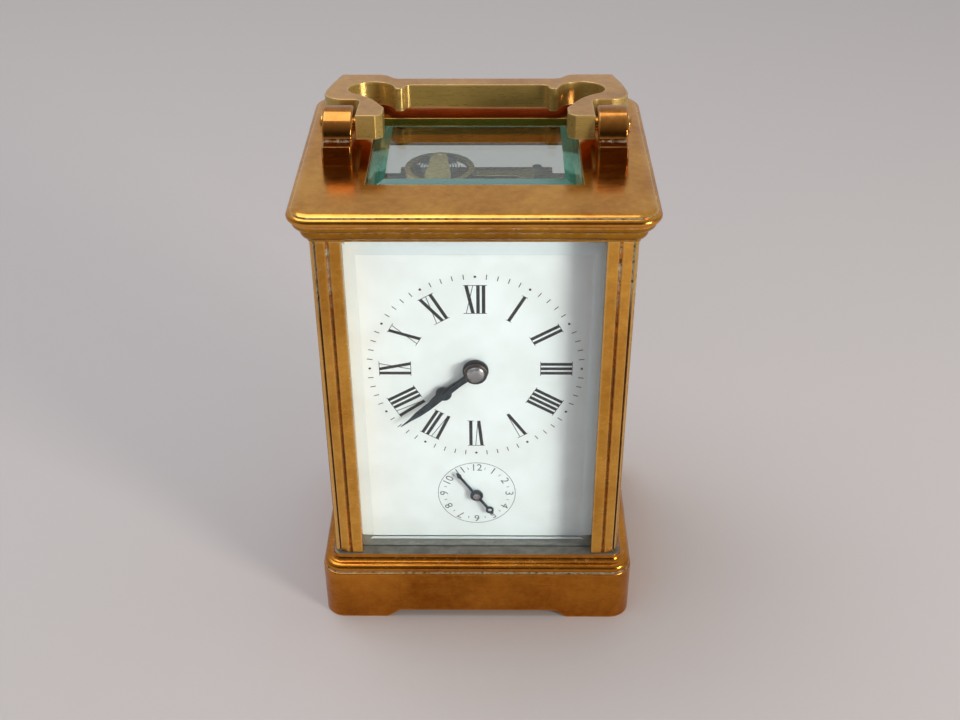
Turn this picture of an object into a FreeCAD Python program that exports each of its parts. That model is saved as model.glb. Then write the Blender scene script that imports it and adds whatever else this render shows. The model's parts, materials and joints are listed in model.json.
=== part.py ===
import FreeCAD, Part
import math
import os

# Brass carriage clock with an alarm sub-dial.
# Millimetres. Origin under the middle of the base, +Z up, the dial faces -Y, +X is right seen from the front.
# Angles of hands are clockwise from twelve, angles of wheel centres are from +X towards +Z.

V = FreeCAD.Vector

# Case
CASE_W = 70.2            # over the corner posts, left to right
CASE_D = 57.4            # over the corner posts, front to back
BASE_H = 18.4            # table to the foot of the posts
POST_H = 88.1            # base to cornice
CORNICE_H = 7.8
BASE_PROUD = 3.4         # base beyond the posts
CORNICE_PROUD = 4.4      # cornice beyond the posts
BASE_CORNER = 5.0        # corner radius seen from above
CORNICE_CORNER = 5.4
BASE_IN = 3.9            # depth of the swept moulding of the base
BASE_WALL = 4.4          # base wall round the well
CORNICE_IN = 4.7         # depth of the swept moulding of the cornice
CORNICE_LIP = 0.8        # cornice inside the posts
MOULDING_LAP = 0.3       # how far the block inside reaches into them
POST_SIDE = 6.8
POST_EDGE = 1.0          # chamfer on the outer edge of a post
POST_FLAT = 2.4          # flat between that edge and the cut line
POST_LINE = 0.9          # width of the cut line
POST_LINE_DEPTH = 0.6
FLOOR_T = 4.4            # floor of the case, on top of the base
FOOT_CUT_H = 2.2
FOOT_CUT_X = 21.1        # half width of the foot cut-out, front and back
FOOT_CUT_Y = 15.0        # half width of the foot cut-out, sides
FOOT_SLOPE = 1.6         # its ends lean by this much each way
COVER_UP = 2.4           # underside of the closing plate above the table
COVER_T = 1.2
COVER_GAP = 0.2
COVER_BOSS_R = 3.0
COVER_BOSS_IN = 5.0      # boss centres inside the walls of the base
COVER_BOSS_BACK = 8.0    # side bosses behind the middle, clear of the movement's screws
SCREW_R = 1.2
SCREW_HEAD_R = 2.2
SCREW_HEAD_T = 1.3
SCREW_DEPTH = 8.0
CORNICE_PLATE = 3.5      # thickness of the top plate

# Glass
GLASS_T = 2.2
GLASS_SET = 1.5          # pane behind the outer face of the posts
GLASS_IN = 1.4           # pane into its slot
GLASS_GAP = 0.1
GLASS_BEVEL = 2.7        # visible width of the bevel
GLASS_BEVEL_DEPTH = 0.9
TOP_FRAME_X = 11.5       # opening of the top plate inside the posts' outer faces
TOP_FRAME_Y = 11.1
TOP_GLASS_EDGE = 1.6     # thickness in the rebate
TOP_GLASS_RISE = 1.4     # bevel height
TOP_GLASS_BEVEL = 3.8
TOP_GLASS_LAP = 1.2

# Rear door
DOOR_T = 2.4
DOOR_SET = 1.4
DOOR_GAP = 0.35
DOOR_STILE = 4.5
DOOR_REBATE = 1.0
DOOR_GLASS_T = 1.4
DOOR_PIN_R = 0.8
DOOR_PIN_IN = 2.6        # pin centre from the door's edge
DOOR_PIN_HOLD = 4.0
DOOR_PIN_REACH = 1.8
KNOB_R = 2.0
KNOB_OUT = 3.2

# Handle
LUG_IN = 4.65            # middle of a lug inside the posts' outer faces
LUG_W = 6.7
LUG_FOOT = 8.6           # half length of the foot
LUG_FOOT_H = 4.6
LUG_HEAD_R = 5.7
PIVOT_UP = 6.4           # pivot above the top plate
HANDLE_T = 5.6
HANDLE_TILT = 6.0        # folded back, the grip lies this much below level
HANDLE_EDGE = 0.35
PIVOT_R = 1.5
PIVOT_HEAD_R = 2.3
PIVOT_HEAD_T = 0.9
PIVOT_DEPTH = 4.0        # screw into the boss
BOSS_GAP = 0.5           # between a lug and the handle's boss
BOSS_W = 6.0
LUG_CLEAR = 0.7          # handle's arm behind the foot of a lug
FACET_IN = 2.6           # facets at the knees: in from the side, forward limit and drop
FACET_FROM = 15.5
FACET_DROP = 2.3
RUNNING = 0.05           # radial clearance of everything that turns

# Dial and hands
DIAL_BACK = 7.3          # dial face behind the front of the posts
DIAL_T = 1.6
DIAL_GAP = 0.3
DIAL_FOOT_IN = 5.0       # dial feet inside the plates' edges
DIAL_FOOT_LOW = 8.4
DIAL_DOWN = 36.9         # dial centre below the cornice
ALARM_UP = 14.05         # alarm sub-dial above the floor
HAND_T = 0.5
HOUR_OFF = 0.7           # hour hand in front of the dial
MINUTE_OFF = 1.6
HAND_ANGLE = 229.1
MINUTE_LENGTH = 23.6
HOUR_LENGTH = 16.4
HOUR_BULB = 9.9
HOUR_BULB_R = 1.9
ALARM_ANGLE = 325.0
ALARM_LENGTH = 8.6
ALARM_RING = 5.6
ALARM_TAIL = 7.2
COLLET_R = 2.5
COLLET_T = 0.55

# Movement
PLATE_T = 2.0
PLATE_W = 50.0
PLATE_DOWN = 6.1         # top of the plates below the cornice
UNDER_DIAL = 4.3         # dial to front plate
PLATE_SPACE = 24.3       # between the plates
PILLAR_R = 2.2
PILLAR_IN = 2.4          # pillars inside the plates' edges
PILLAR_LOW = 3.5         # lower pillars above the floor
PILLAR_DOWN = 12.0       # upper pillars below the top of the plates
ARBOR_R = 0.9
STUD_R = 0.7             # stud of the minute wheel
CENTRE_R = 1.25
HOUR_PIPE_R = 1.9
WIND_R = 1.6
SQUARE = 2.2             # across the winding squares
SQUARE_OUT = 6.6         # squares behind the back plate
WHEEL_T = 1.0
PINION_T = 2.2
PINION_LAP = 0.3         # pinion in front of the wheel that drives it
BARREL_H = 14.0
ALARM_BARREL_H = 7.5
TEETH_T = 1.6
WHEEL_RIM = 1.4          # rim inside the teeth of a spoked wheel
HUB_R = 2.8
SPOKES = 4
SPOKE_HALF = 9.0         # half a spoke, in degrees
BARREL_IN = 2.5          # pieces behind the front plate
THIRD_IN = 9.5
ALARM_IN = 1.5
ALARM_WHEEL_IN = 12.5
INTER_GAP = 1.6          # intermediate wheel behind the barrel
CENTRE_GAP = 2.4         # centre wheel behind the intermediate wheel
CROWN_GAP = 2.6          # contrate wheel behind the third wheel

# Tooth counts
BARREL_N = 48
INTER_PINION_N = 9
INTER_N = 54
CENTRE_PINION_N = 9
CENTRE_N = 48
THIRD_PINION_N = 7
THIRD_N = 42
CROWN_PINION_N = 7
CROWN_N = 30
ESCAPE_PINION_N = 6
ESCAPE_N = 15
CANNON_N = 12
MINUTE_N = 36
MINUTE_PINION_N = 10
HOUR_N = 40
ALARM_BARREL_N = 40
ALARM_PINION_N = 8
ALARM_WHEEL_N = 26

# Modules
BARREL_M = 0.55
INTER_M = 0.466
TRAIN_M = 0.48
CANNON_M = 0.3
ALARM_M = 0.52
ALARM_WHEEL_M = 0.34

# Tooth form, in modules and in shares of half a pitch
ADDENDUM = 0.72
DEDENDUM = 1.1
TIP_SHARE = 0.22
ROOT_SHARE = 0.58

# Escapement on its platform
PLATFORM_X = 18.0
PLATFORM_T = 1.6
CROWN_R = 8.2
CROWN_TOOTH = 1.3
CROWN_RIM = 1.0
CROWN_SHELF = 0.7        # disc left inside the rim
CROWN_FLOOR = 0.2        # rim left under the gaps
CROWN_GAP_SHARE = 0.31   # half a gap, as a share of the pitch
CROWN_MESH = 0.62        # leaves into the crown teeth
LEAF_RISE = 0.35         # escape leaves beyond their pitch circle
LEAF_T = 2.1
LEAF_BELOW = 1.6         # escape leaves below the top of the contrate wheel
ESCAPE_R = 3.6
BRIDGE_UP = 1.6          # bridge above the escape wheel's underside
BRIDGE_T = 0.9
LEVER_X = 4.7            # lever arbor from the escape arbor
BALANCE_X = 13.5         # balance staff from the escape arbor
BALANCE_R = 8.0
BALANCE_RIM = 1.2
BALANCE_T = 1.2
SPOKE_W = 1.4
SPOKE_T = 0.8
STAFF_R = 0.5
ESCAPE_UP = 1.1          # escape wheel above the platform
BALANCE_UP = 3.8         # balance above the platform
COCK_UP = 6.6
COCK_T = 1.4
SPRING_PITCH = 0.64
SPRING_WIRE = 0.16
SPRING_H = 0.5
SPRING_TURNS = 5
SPRING_COLLET = 1.5
SPRING_CLEAR = 0.1       # spring above the rim

# Alarm work
BELL_R = 15.0
BELL_H = 7.5
BELL_T = 0.9
BELL_SPACER = 1.0
BELL_BACK = 10.9         # middle of the bell behind the front plate
BELL_CONE = 4.1          # width and height of the cone round its crown
ALARM_BARREL_X = 14.5
ALARM_BARREL_DOWN = 28.6  # alarm barrel below the dial centre
HAMMER_X = 17.5
HAMMER_DOWN = 11.7       # hammer arbor below the alarm barrel
HAMMER_HEAD_DOWN = 9.9   # hammer head below the floor
HAMMER_HEAD = 2.0
HAMMER_GAP = 1.4

# Levels and planes that follow
half_w = CASE_W / 2
half_d = CASE_D / 2
z_floor = BASE_H
z_cornice = BASE_H + POST_H
z_top = z_cornice + CORNICE_H
y_dial = -half_d + DIAL_BACK
y_front = y_dial + DIAL_T + UNDER_DIAL
y_inner = y_front + PLATE_T
y_back = y_inner + PLATE_SPACE
y_rear = y_back + PLATE_T
z_plate = z_cornice - PLATE_DOWN
z_platform = z_plate + PLATFORM_T
plate_half = PLATE_W / 2
pillar_x = plate_half - PILLAR_IN
top_glass_x = half_w - TOP_FRAME_X
top_glass_y = half_d - TOP_FRAME_Y
lug_x = half_w - LUG_IN


def box(x0, x1, y0, y1, z0, z1):
    return Part.makeBox(x1 - x0, y1 - y0, z1 - z0, V(x0, y0, z0))


def rod_x(radius, x0, x1, y, z):
    return Part.makeCylinder(radius, x1 - x0, V(x0, y, z), V(1, 0, 0))


def rod_y(radius, y0, y1, x, z):
    return Part.makeCylinder(radius, y1 - y0, V(x, y0, z), V(0, 1, 0))


def rod_z(radius, z0, z1, x, y):
    return Part.makeCylinder(radius, z1 - z0, V(x, y, z0), V(0, 0, 1))


def outline(points, place):
    """Closed wire through points; a point written (a, b, c, d) is the middle and the end of an arc."""
    edges = []
    last = points[0]
    for point in points[1:] + points[:1]:
        if len(point) == 4:
            arc = Part.Arc(place(*last), place(point[0], point[1]), place(point[2], point[3]))
            edges.append(arc.toShape())
            last = point[2:]
        else:
            edges.append(Part.LineSegment(place(*last), place(*point)).toShape())
            last = point
    return Part.Wire(edges)


def slab(points, place, direction):
    return Part.Face(outline(points, place)).extrude(direction)


def foot_cut(half):
    """Opening between two feet, its ends leaning inwards."""
    low = half + FOOT_SLOPE
    high = half - FOOT_SLOPE
    return [(-low, 0), (-high, FOOT_CUT_H), (high, FOOT_CUT_H), (low, 0)]


def rounded_path(hx, hy, radius, z):
    """Rectangle with rounded corners, started in the middle of the front."""
    bow = radius * (1 - math.sqrt(0.5))
    points = [(0, -hy), (hx - radius, -hy), (hx - bow, -hy + bow, hx, -hy + radius),
              (hx, hy - radius), (hx - bow, hy - bow, hx - radius, hy),
              (-hx + radius, hy), (-hx + bow, hy - bow, -hx, hy - radius),
              (-hx, -hy + radius), (-hx + bow, -hy + bow, -hx + radius, -hy)]
    return outline(points, lambda x, y: V(x, y, z))


def rounded_block(hx, hy, radius, z0, z1):
    return Part.Face(rounded_path(hx, hy, radius, z0)).extrude(V(0, 0, z1 - z0))


def moulding(profile, hx, hy, radius, depth, z0, z1):
    """Profile of (out, z) points swept round a rounded rectangle, filled with a block inside."""
    section = outline(profile, lambda out, z: V(0, -hy - out, z))
    ring = rounded_path(hx, hy, radius, 0).makePipeShell([section], True, False)
    inset = depth - MOULDING_LAP
    core = rounded_block(hx - inset, hy - inset, radius - inset, z0, z1)
    return ring.fuse(core).removeSplitter()


def pane(hx, hy, edge, rise, bevel):
    """Bevelled pane lying flat, bevel upwards, its underside at z = 0."""
    body = box(-hx, hx, -hy, hy, 0, edge)
    low = outline([(-hx, -hy), (hx, -hy), (hx, hy), (-hx, hy)], lambda x, y: V(x, y, edge))
    top_x = hx - bevel
    top_y = hy - bevel
    high = outline([(-top_x, -top_y), (top_x, -top_y), (top_x, top_y), (-top_x, top_y)],
                   lambda x, y: V(x, y, edge + rise))
    return body.fuse(Part.makeLoft([low, high], True, True)).removeSplitter()


def at(angle, distance):
    return distance * math.cos(math.radians(angle)), distance * math.sin(math.radians(angle))


def pitch_r(count, module):
    return count * module / 2


def teeth(count, module, centre, y0, thick, phase):
    """Toothed disc round Y with a tooth pointing to the phase angle."""
    tip = pitch_r(count, module) + ADDENDUM * module
    root = pitch_r(count, module) - DEDENDUM * module
    half = 180.0 / count
    points = []
    for number in range(count):
        middle = phase + 2 * half * number
        points.append(at(middle - ROOT_SHARE * half, root))
        points.append(at(middle - TIP_SHARE * half, tip))
        points.append(at(middle + TIP_SHARE * half, tip))
        points.append(at(middle + ROOT_SHARE * half, root))
    return slab(points, lambda x, z: V(centre[0] + x, y0, centre[1] + z), V(0, thick, 0))


def windows(centre, hub, rim, spokes, y0, thick):
    """Openings between the spokes of a wheel."""
    cutters = []
    for number in range(spokes):
        first = 360.0 / spokes * number + SPOKE_HALF
        last = 360.0 / spokes * (number + 1) - SPOKE_HALF
        middle = (first + last) / 2
        points = [at(first, hub), at(first, rim), at(middle, rim) + at(last, rim), at(last, hub)]
        cutters.append(slab(points, lambda x, z: V(centre[0] + x, y0, centre[1] + z), V(0, thick, 0)))
    return Part.makeCompound(cutters)


def square_end(centre, y0, y1):
    side = SQUARE / 2
    return box(centre[0] - side, centre[0] + side, y0, y1, centre[1] - side, centre[1] + side)


def both_sides(shape):
    return [shape, shape.mirror(V(0, 0, 0), V(1, 0, 0))]


os.makedirs("parts", exist_ok=True)


def keep(name, shape):
    shape.exportStep("parts/" + name + ".step")
    print(name, len(shape.Solids), "valid" if shape.isValid() else "NOT VALID", round(shape.Volume, 1))


# Base: plinth, quirk, ovolo and cove under the posts
base_x = half_w + BASE_PROUD
base_y = half_d + BASE_PROUD
base_profile = [(-BASE_IN, 0.0), (0.0, 0.0), (0.0, BASE_H - 4.3), (-0.1, BASE_H - 4.05, -0.35, BASE_H - 3.95),
                (-0.75, BASE_H - 3.95), (-0.75, BASE_H - 3.6), (-0.45, BASE_H - 3.6),
                (-0.55, BASE_H - 2.4, -1.55, BASE_H - 1.8), (-1.9, BASE_H - 1.8),
                (-2.6, BASE_H - 1.3, -2.95, BASE_H - 0.4), (-2.95, BASE_H), (-BASE_IN, BASE_H)]
base = moulding(base_profile, base_x, base_y, BASE_CORNER, BASE_IN, 0, BASE_H)
well_x = base_x - BASE_WALL
well_y = base_y - BASE_WALL
base = base.cut(box(-well_x, well_x, -well_y, well_y, 0, z_floor - FLOOR_T))
cover_top = COVER_UP + COVER_T
boss_x = well_x - COVER_BOSS_IN
boss_y = well_y - COVER_BOSS_IN
boss_places = [(boss_x, COVER_BOSS_BACK), (-boss_x, COVER_BOSS_BACK), (0, boss_y), (0, -boss_y)]
for place_x, place_y in boss_places:
    base = base.fuse(rod_z(COVER_BOSS_R, cover_top, z_floor - FLOOR_T, place_x, place_y))
base = base.removeSplitter()
base = base.cut(slab(foot_cut(FOOT_CUT_X), lambda x, z: V(x, -base_y, z), V(0, 2 * base_y, 0)))
base = base.cut(slab(foot_cut(FOOT_CUT_Y), lambda y, z: V(-base_x, y, z), V(2 * base_x, 0, 0)))
post_x = half_w - POST_SIDE / 2
post_y = half_d - POST_SIDE / 2
post_places = [(side_x * post_x, side_y * post_y) for side_x in (-1, 1) for side_y in (-1, 1)]
bell_y = y_inner + BELL_BACK
holes = [rod_z(SCREW_R, z_floor - FLOOR_T, z_floor, x, y) for x, y in post_places]
holes += [rod_z(SCREW_R, cover_top, cover_top + SCREW_DEPTH, x, y) for x, y in boss_places]
movement_y = y_inner + PLATE_SPACE / 2
holes += [rod_z(SCREW_R, z_floor - FLOOR_T, z_floor, side * pillar_x, movement_y) for side in (-1, 1)]
holes.append(rod_z(SCREW_R, z_floor - FLOOR_T, z_floor, 0, bell_y))
slot_half = HAMMER_HEAD
holes.append(box(HAMMER_X - slot_half, HAMMER_X + slot_half, bell_y - slot_half, bell_y + slot_half,
                 z_floor - FLOOR_T, z_floor))
door_x = half_w - POST_SIDE - DOOR_GAP
pin_x = -(door_x - DOOR_PIN_IN)
door_y1 = half_d - DOOR_SET
door_y0 = door_y1 - DOOR_T
pin_y = (door_y0 + door_y1) / 2
holes.append(rod_z(DOOR_PIN_R + RUNNING, z_floor - DOOR_PIN_REACH - DOOR_GAP, z_floor, pin_x, pin_y))
base = base.cut(Part.makeCompound(holes))
keep("base_plinth", base)

cover_x = well_x - COVER_GAP
cover_y = well_y - COVER_GAP
cover = box(-cover_x, cover_x, -cover_y, cover_y, COVER_UP, cover_top)
cover = cover.cut(Part.makeCompound([rod_z(SCREW_R, COVER_UP, cover_top, x, y) for x, y in boss_places]))
keep("base_cover", cover)


def screw_up(x, y, under, length):
    """Screw with its head below the level named."""
    head = rod_z(SCREW_HEAD_R, under - SCREW_HEAD_T, under, x, y)
    return head.fuse(rod_z(SCREW_R, under, under + length, x, y)).removeSplitter()


keep("base_cover_screws", Part.makeCompound(
    [screw_up(x, y, COVER_UP, COVER_T + SCREW_DEPTH) for x, y in boss_places]))
keep("post_screws", Part.makeCompound(
    [screw_up(x, y, z_floor - FLOOR_T, FLOOR_T + SCREW_DEPTH) for x, y in post_places]))


def post(side_x, side_y, glazed):
    """Corner post; its slots take the panes, its faces carry one cut line each."""
    slot_out = POST_SIDE - GLASS_SET
    slot_in = slot_out - GLASS_T - GLASS_GAP
    slot_deep = GLASS_IN + GLASS_GAP
    line_out = POST_SIDE - POST_EDGE - POST_FLAT
    line_mid = line_out - POST_LINE / 2
    line_in = line_out - POST_LINE
    low = POST_SIDE - POST_LINE_DEPTH
    corner = POST_SIDE - POST_EDGE
    points = [(0, 0), (slot_in, 0), (slot_in, slot_deep), (slot_out, slot_deep), (slot_out, 0),
              (POST_SIDE, 0), (POST_SIDE, line_in), (low, line_mid), (POST_SIDE, line_out), (POST_SIDE, corner),
              (corner, POST_SIDE), (line_out, POST_SIDE), (line_mid, low), (line_in, POST_SIDE), (0, POST_SIDE)]
    if glazed:
        points += [(0, slot_out), (slot_deep, slot_out), (slot_deep, slot_in), (0, slot_in)]
    corner_x = half_w - POST_SIDE
    corner_y = half_d - POST_SIDE
    body = slab(points, lambda a, b: V(side_x * (corner_x + a), side_y * (corner_y + b), z_floor),
                V(0, 0, POST_H))
    return body.cut(rod_z(SCREW_R, z_floor, z_floor + SCREW_DEPTH, side_x * post_x, side_y * post_y))


keep("corner_post_front_left", post(-1, -1, True))
keep("corner_post_front_right", post(1, -1, True))
keep("corner_post_rear_left", post(-1, 1, False))
keep("corner_post_rear_right", post(1, 1, False))

# Cornice: top plate with a sloping rim, quirk, bead, ovolo, fillet and cove
cornice_x = half_w + CORNICE_PROUD
cornice_y = half_d + CORNICE_PROUD
cornice_profile = [(-CORNICE_IN, z_top), (-2.9, z_top), (-1.75, z_top - 0.13, -0.95, z_top - 0.5),
                   (-1.15, z_top - 0.72), (-0.75, z_top - 0.75), (0.0, z_top - 1.7, -0.75, z_top - 2.65),
                   (-1.0, z_top - 2.65), (-1.0, z_top - 2.95), (-1.25, z_top - 3.95, -2.2, z_top - 4.6),
                   (-2.6, z_top - 4.6), (-2.6, z_top - 4.9), (-2.95, z_top - 6.35, -4.1, z_top - 7.3),
                   (-4.1, z_cornice), (-CORNICE_IN, z_cornice)]
cornice = moulding(cornice_profile, cornice_x, cornice_y, CORNICE_CORNER, CORNICE_IN, z_cornice, z_top)
z_under = z_top - CORNICE_PLATE
void_x = half_w - POST_SIDE - CORNICE_LIP
void_y = half_d - POST_SIDE - CORNICE_LIP
rebate_x = top_glass_x + TOP_GLASS_LAP
rebate_y = top_glass_y + TOP_GLASS_LAP
cornice = cornice.cut(box(-void_x, void_x, -void_y, void_y, z_cornice, z_under))
cornice = cornice.cut(box(-rebate_x, rebate_x, -rebate_y, rebate_y, z_under, z_under + TOP_GLASS_EDGE))
cornice = cornice.cut(box(-top_glass_x, top_glass_x, -top_glass_y, top_glass_y, z_under, z_top))
pin_hole_top = z_cornice + DOOR_PIN_REACH + DOOR_GAP
cornice = cornice.cut(rod_z(DOOR_PIN_R + RUNNING, z_cornice, pin_hole_top, pin_x, pin_y))
keep("cornice", cornice)

# Panes
top_pane_x = rebate_x - GLASS_GAP
top_pane_y = rebate_y - GLASS_GAP
top_glass = box(-top_pane_x, top_pane_x, -top_pane_y, top_pane_y, 0, TOP_GLASS_EDGE)
top_glass = top_glass.fuse(pane(top_glass_x - GLASS_GAP, top_glass_y - GLASS_GAP, TOP_GLASS_EDGE,
                                TOP_GLASS_RISE, TOP_GLASS_BEVEL)).removeSplitter()
top_glass.translate(V(0, 0, z_under))
keep("top_glass", top_glass)

pane_h = POST_H - GLASS_GAP
bevel = GLASS_IN + GLASS_BEVEL
front_x = half_w - POST_SIDE + GLASS_IN
side_y_half = half_d - POST_SIDE + GLASS_IN
glass_in_y = half_d - GLASS_SET - GLASS_GAP - GLASS_T
glass_in_x = half_w - GLASS_SET - GLASS_GAP - GLASS_T
edge_t = GLASS_T - GLASS_BEVEL_DEPTH


def upright_pane(half, turn, shift):
    flat = pane(half, pane_h / 2, edge_t, GLASS_BEVEL_DEPTH, bevel)
    flat.rotate(V(0, 0, 0), V(1, 0, 0), 90)
    flat.rotate(V(0, 0, 0), V(0, 0, 1), turn)
    flat.translate(shift)
    return flat


z_mid = z_floor + pane_h / 2
keep("front_glass", upright_pane(front_x, 0, V(0, -glass_in_y, z_mid)))
keep("left_glass", upright_pane(side_y_half, -90, V(-glass_in_x, 0, z_mid)))
keep("right_glass", upright_pane(side_y_half, 90, V(glass_in_x, 0, z_mid)))

# Rear door on two pins at its left, as seen from the front
door_z0 = z_floor + DOOR_GAP
door_z1 = z_cornice - DOOR_GAP
open_x = door_x - DOOR_STILE
pane_x = open_x + DOOR_REBATE
door = box(-door_x, door_x, door_y0, door_y1, door_z0, door_z1)
hinge_edges = [edge for edge in door.Edges
               if abs(edge.CenterOfMass.x + door_x) < 0.01 and abs(edge.CenterOfMass.y - pin_y) > 0.5
               and abs(edge.CenterOfMass.z - z_floor - POST_H / 2) < 1]
door = door.makeFillet(DOOR_T / 4, hinge_edges)
door = door.cut(box(-open_x, open_x, door_y0, door_y1, door_z0 + DOOR_STILE, door_z1 - DOOR_STILE))
pane_z0 = door_z0 + DOOR_STILE - DOOR_REBATE
pane_z1 = door_z1 - DOOR_STILE + DOOR_REBATE
door = door.cut(box(-pane_x, pane_x, door_y0, door_y0 + DOOR_GLASS_T, pane_z0, pane_z1))
low_pin = rod_z(DOOR_PIN_R, z_floor - DOOR_PIN_REACH, door_z0 + DOOR_PIN_HOLD, pin_x, pin_y)
high_pin = rod_z(DOOR_PIN_R, door_z1 - DOOR_PIN_HOLD, z_cornice + DOOR_PIN_REACH, pin_x, pin_y)
pins = Part.makeCompound([low_pin, high_pin])
knob_x = door_x - DOOR_STILE / 2
knob_z = z_floor + POST_H / 2
knob_stem = rod_y(KNOB_R / 2, door_y0 + DOOR_T / 2, door_y1 + KNOB_OUT / 2, knob_x, knob_z)
knob_head = rod_y(KNOB_R, door_y1 + KNOB_OUT / 3, door_y1 + KNOB_OUT, knob_x, knob_z)
knob = knob_stem.fuse(knob_head).removeSplitter()
door = door.cut(pins).cut(knob_stem)
keep("rear_door_frame", door)
keep("rear_door_pins", pins)
keep("rear_door_knob", knob)
keep("rear_door_glass", box(-pane_x, pane_x, door_y0, door_y0 + DOOR_GLASS_T, pane_z0, pane_z1))

# Lugs, pivot screws and handle
z_pivot = z_top + PIVOT_UP
lug_in = lug_x - LUG_W / 2
lug_out = lug_x + LUG_W / 2
lug_points = [(-LUG_FOOT, 0), (LUG_FOOT, 0), (LUG_FOOT, LUG_FOOT_H), (LUG_HEAD_R, LUG_FOOT_H),
              (0, LUG_FOOT_H + LUG_HEAD_R, -LUG_HEAD_R, LUG_FOOT_H), (-LUG_FOOT, LUG_FOOT_H)]
lug = slab(lug_points, lambda y, z: V(lug_in, y, z_top + z), V(LUG_W, 0, 0))
lug = lug.makeChamfer(HANDLE_EDGE, [edge for edge in lug.Edges if edge.CenterOfMass.z > z_top + 0.01
                                    and abs(edge.CenterOfMass.x - lug_x) > LUG_W / 2 - 0.01])
lug = lug.cut(rod_x(PIVOT_R, lug_in, lug_out, 0, z_pivot))
boss_out = lug_in - BOSS_GAP
screw = rod_x(PIVOT_R, boss_out - PIVOT_DEPTH, lug_out, 0, z_pivot)
screw = screw.fuse(rod_x(PIVOT_HEAD_R, lug_out, lug_out + PIVOT_HEAD_T, 0, z_pivot)).removeSplitter()
head_edges = [edge for edge in screw.Edges if abs(edge.CenterOfMass.x - lug_out - PIVOT_HEAD_T) < 0.01
              and isinstance(edge.Curve, Part.Circle)]
screw = screw.makeChamfer(PIVOT_HEAD_T / 2, head_edges)
for name, shape in zip(("right", "left"), both_sides(lug)):
    keep("handle_lug_" + name, shape)
keep("handle_pivot_screws", Part.makeCompound(both_sides(screw)))

# Right half of the handle seen from above when level: out from the face of its boss, back from the pivot
grip_in = 21.0
grip_out = 26.4
knee_out = 30.0
knee = 8.6
lug_clear = LUG_FOOT + LUG_CLEAR
middle = -boss_out
handle_points = [(middle, grip_in), (-11.2, grip_in), (-10.1, 20.6, -9.6, 19.4), (-8.4, 17.9, -7.2, 19.1),
                 (-3.2, 23.5, 2.0, 21.8), (3.5, 18.2, 2.3, 14.6), (-1.2, 11.6, -3.6, 8.0), (-BOSS_W, 3.0),
                 (-BOSS_W, -1.6), (1.6 - BOSS_W, -3.0), (0, -3.0), (0, lug_clear - 1.8),
                 (0.5, lug_clear - 0.5, 1.8, lug_clear), (4.2, lug_clear), (7.3, 10.9, knee, 14.0),
                 (knee, knee_out), (-3.0, knee_out), (-4.8, 29.2, -6.1, 27.6), (-7.2, 26.6, -9.0, grip_out),
                 (middle, grip_out)]
knee_x = boss_out + knee
half_handle = slab(handle_points, lambda out, back: V(boss_out + out, back, -HANDLE_T / 2), V(0, 0, HANDLE_T))
handle_top = HANDLE_T / 2
corners = [V(knee_x - FACET_IN, knee_out, handle_top), V(knee_x, FACET_FROM, handle_top),
           V(knee_x, knee_out, handle_top - FACET_DROP)]
facet = Part.Face(Part.makePolygon(corners + corners[:1]))
facet_top = facet.extrude(V(HANDLE_T, 1.5, HANDLE_T))
half_handle = half_handle.cut(facet_top).cut(facet_top.mirror(V(0, 0, 0), V(0, 0, 1)))
half_handle = half_handle.cut(rod_x(PIVOT_R + RUNNING, boss_out - PIVOT_DEPTH - DOOR_GAP, boss_out + 1, 0, 0))
handle = half_handle.fuse(half_handle.mirror(V(0, 0, 0), V(1, 0, 0))).removeSplitter()
handle.rotate(V(0, 0, 0), V(1, 0, 0), -HANDLE_TILT)
handle.translate(V(0, 0, z_pivot))
keep("handle", handle)

# Dial plate on four feet
centre = (0.0, z_cornice - DIAL_DOWN)
alarm = (0.0, z_floor + ALARM_UP)
dial_x = glass_in_x - DIAL_GAP
dial_y1 = y_dial + DIAL_T
dial = box(-dial_x, dial_x, y_dial, dial_y1, z_floor + DIAL_GAP, z_cornice - DIAL_GAP)
dial = dial.cut(rod_y(HOUR_PIPE_R + DIAL_GAP, y_dial, dial_y1, *centre))
dial = dial.cut(rod_y(ARBOR_R + DIAL_GAP, y_dial, dial_y1, *alarm))
keep("dial", dial)
foot_levels = (z_floor + DIAL_FOOT_LOW, z_plate - PILLAR_DOWN)
foot_places = [(side * (plate_half - DIAL_FOOT_IN), level) for side in (-1, 1) for level in foot_levels]
keep("dial_feet", Part.makeCompound([rod_y(SCREW_R, dial_y1, y_front, x, z) for x, z in foot_places]))

# Hands
hour_y = y_dial - HOUR_OFF
minute_y = y_dial - MINUTE_OFF


def hand(points, angle, centre_at, y_front_face, hub, bore):
    """Flat hand; the points lie right of its own line, along it from the hub."""
    turn = math.radians(angle)

    def place(across, along):
        x = along * math.sin(turn) + across * math.cos(turn)
        z = along * math.cos(turn) - across * math.sin(turn)
        return V(centre_at[0] + x, y_front_face, centre_at[1] + z)

    mirrored = [(-across, along) for across, along in reversed(points) if across > 0]
    blade = slab(points + mirrored, place, V(0, HAND_T, 0))
    blade = blade.fuse(rod_y(hub, y_front_face, y_front_face + HAND_T, *centre_at)).removeSplitter()
    return blade.cut(rod_y(bore, y_front_face, y_front_face + HAND_T, *centre_at))


def bulb(along, radius):
    """Right side of a round swelling of a hand."""
    return [(radius * math.sin(math.radians(turn)), along - radius * math.cos(math.radians(turn)))
            for turn in range(30, 160, 20)]


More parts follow.
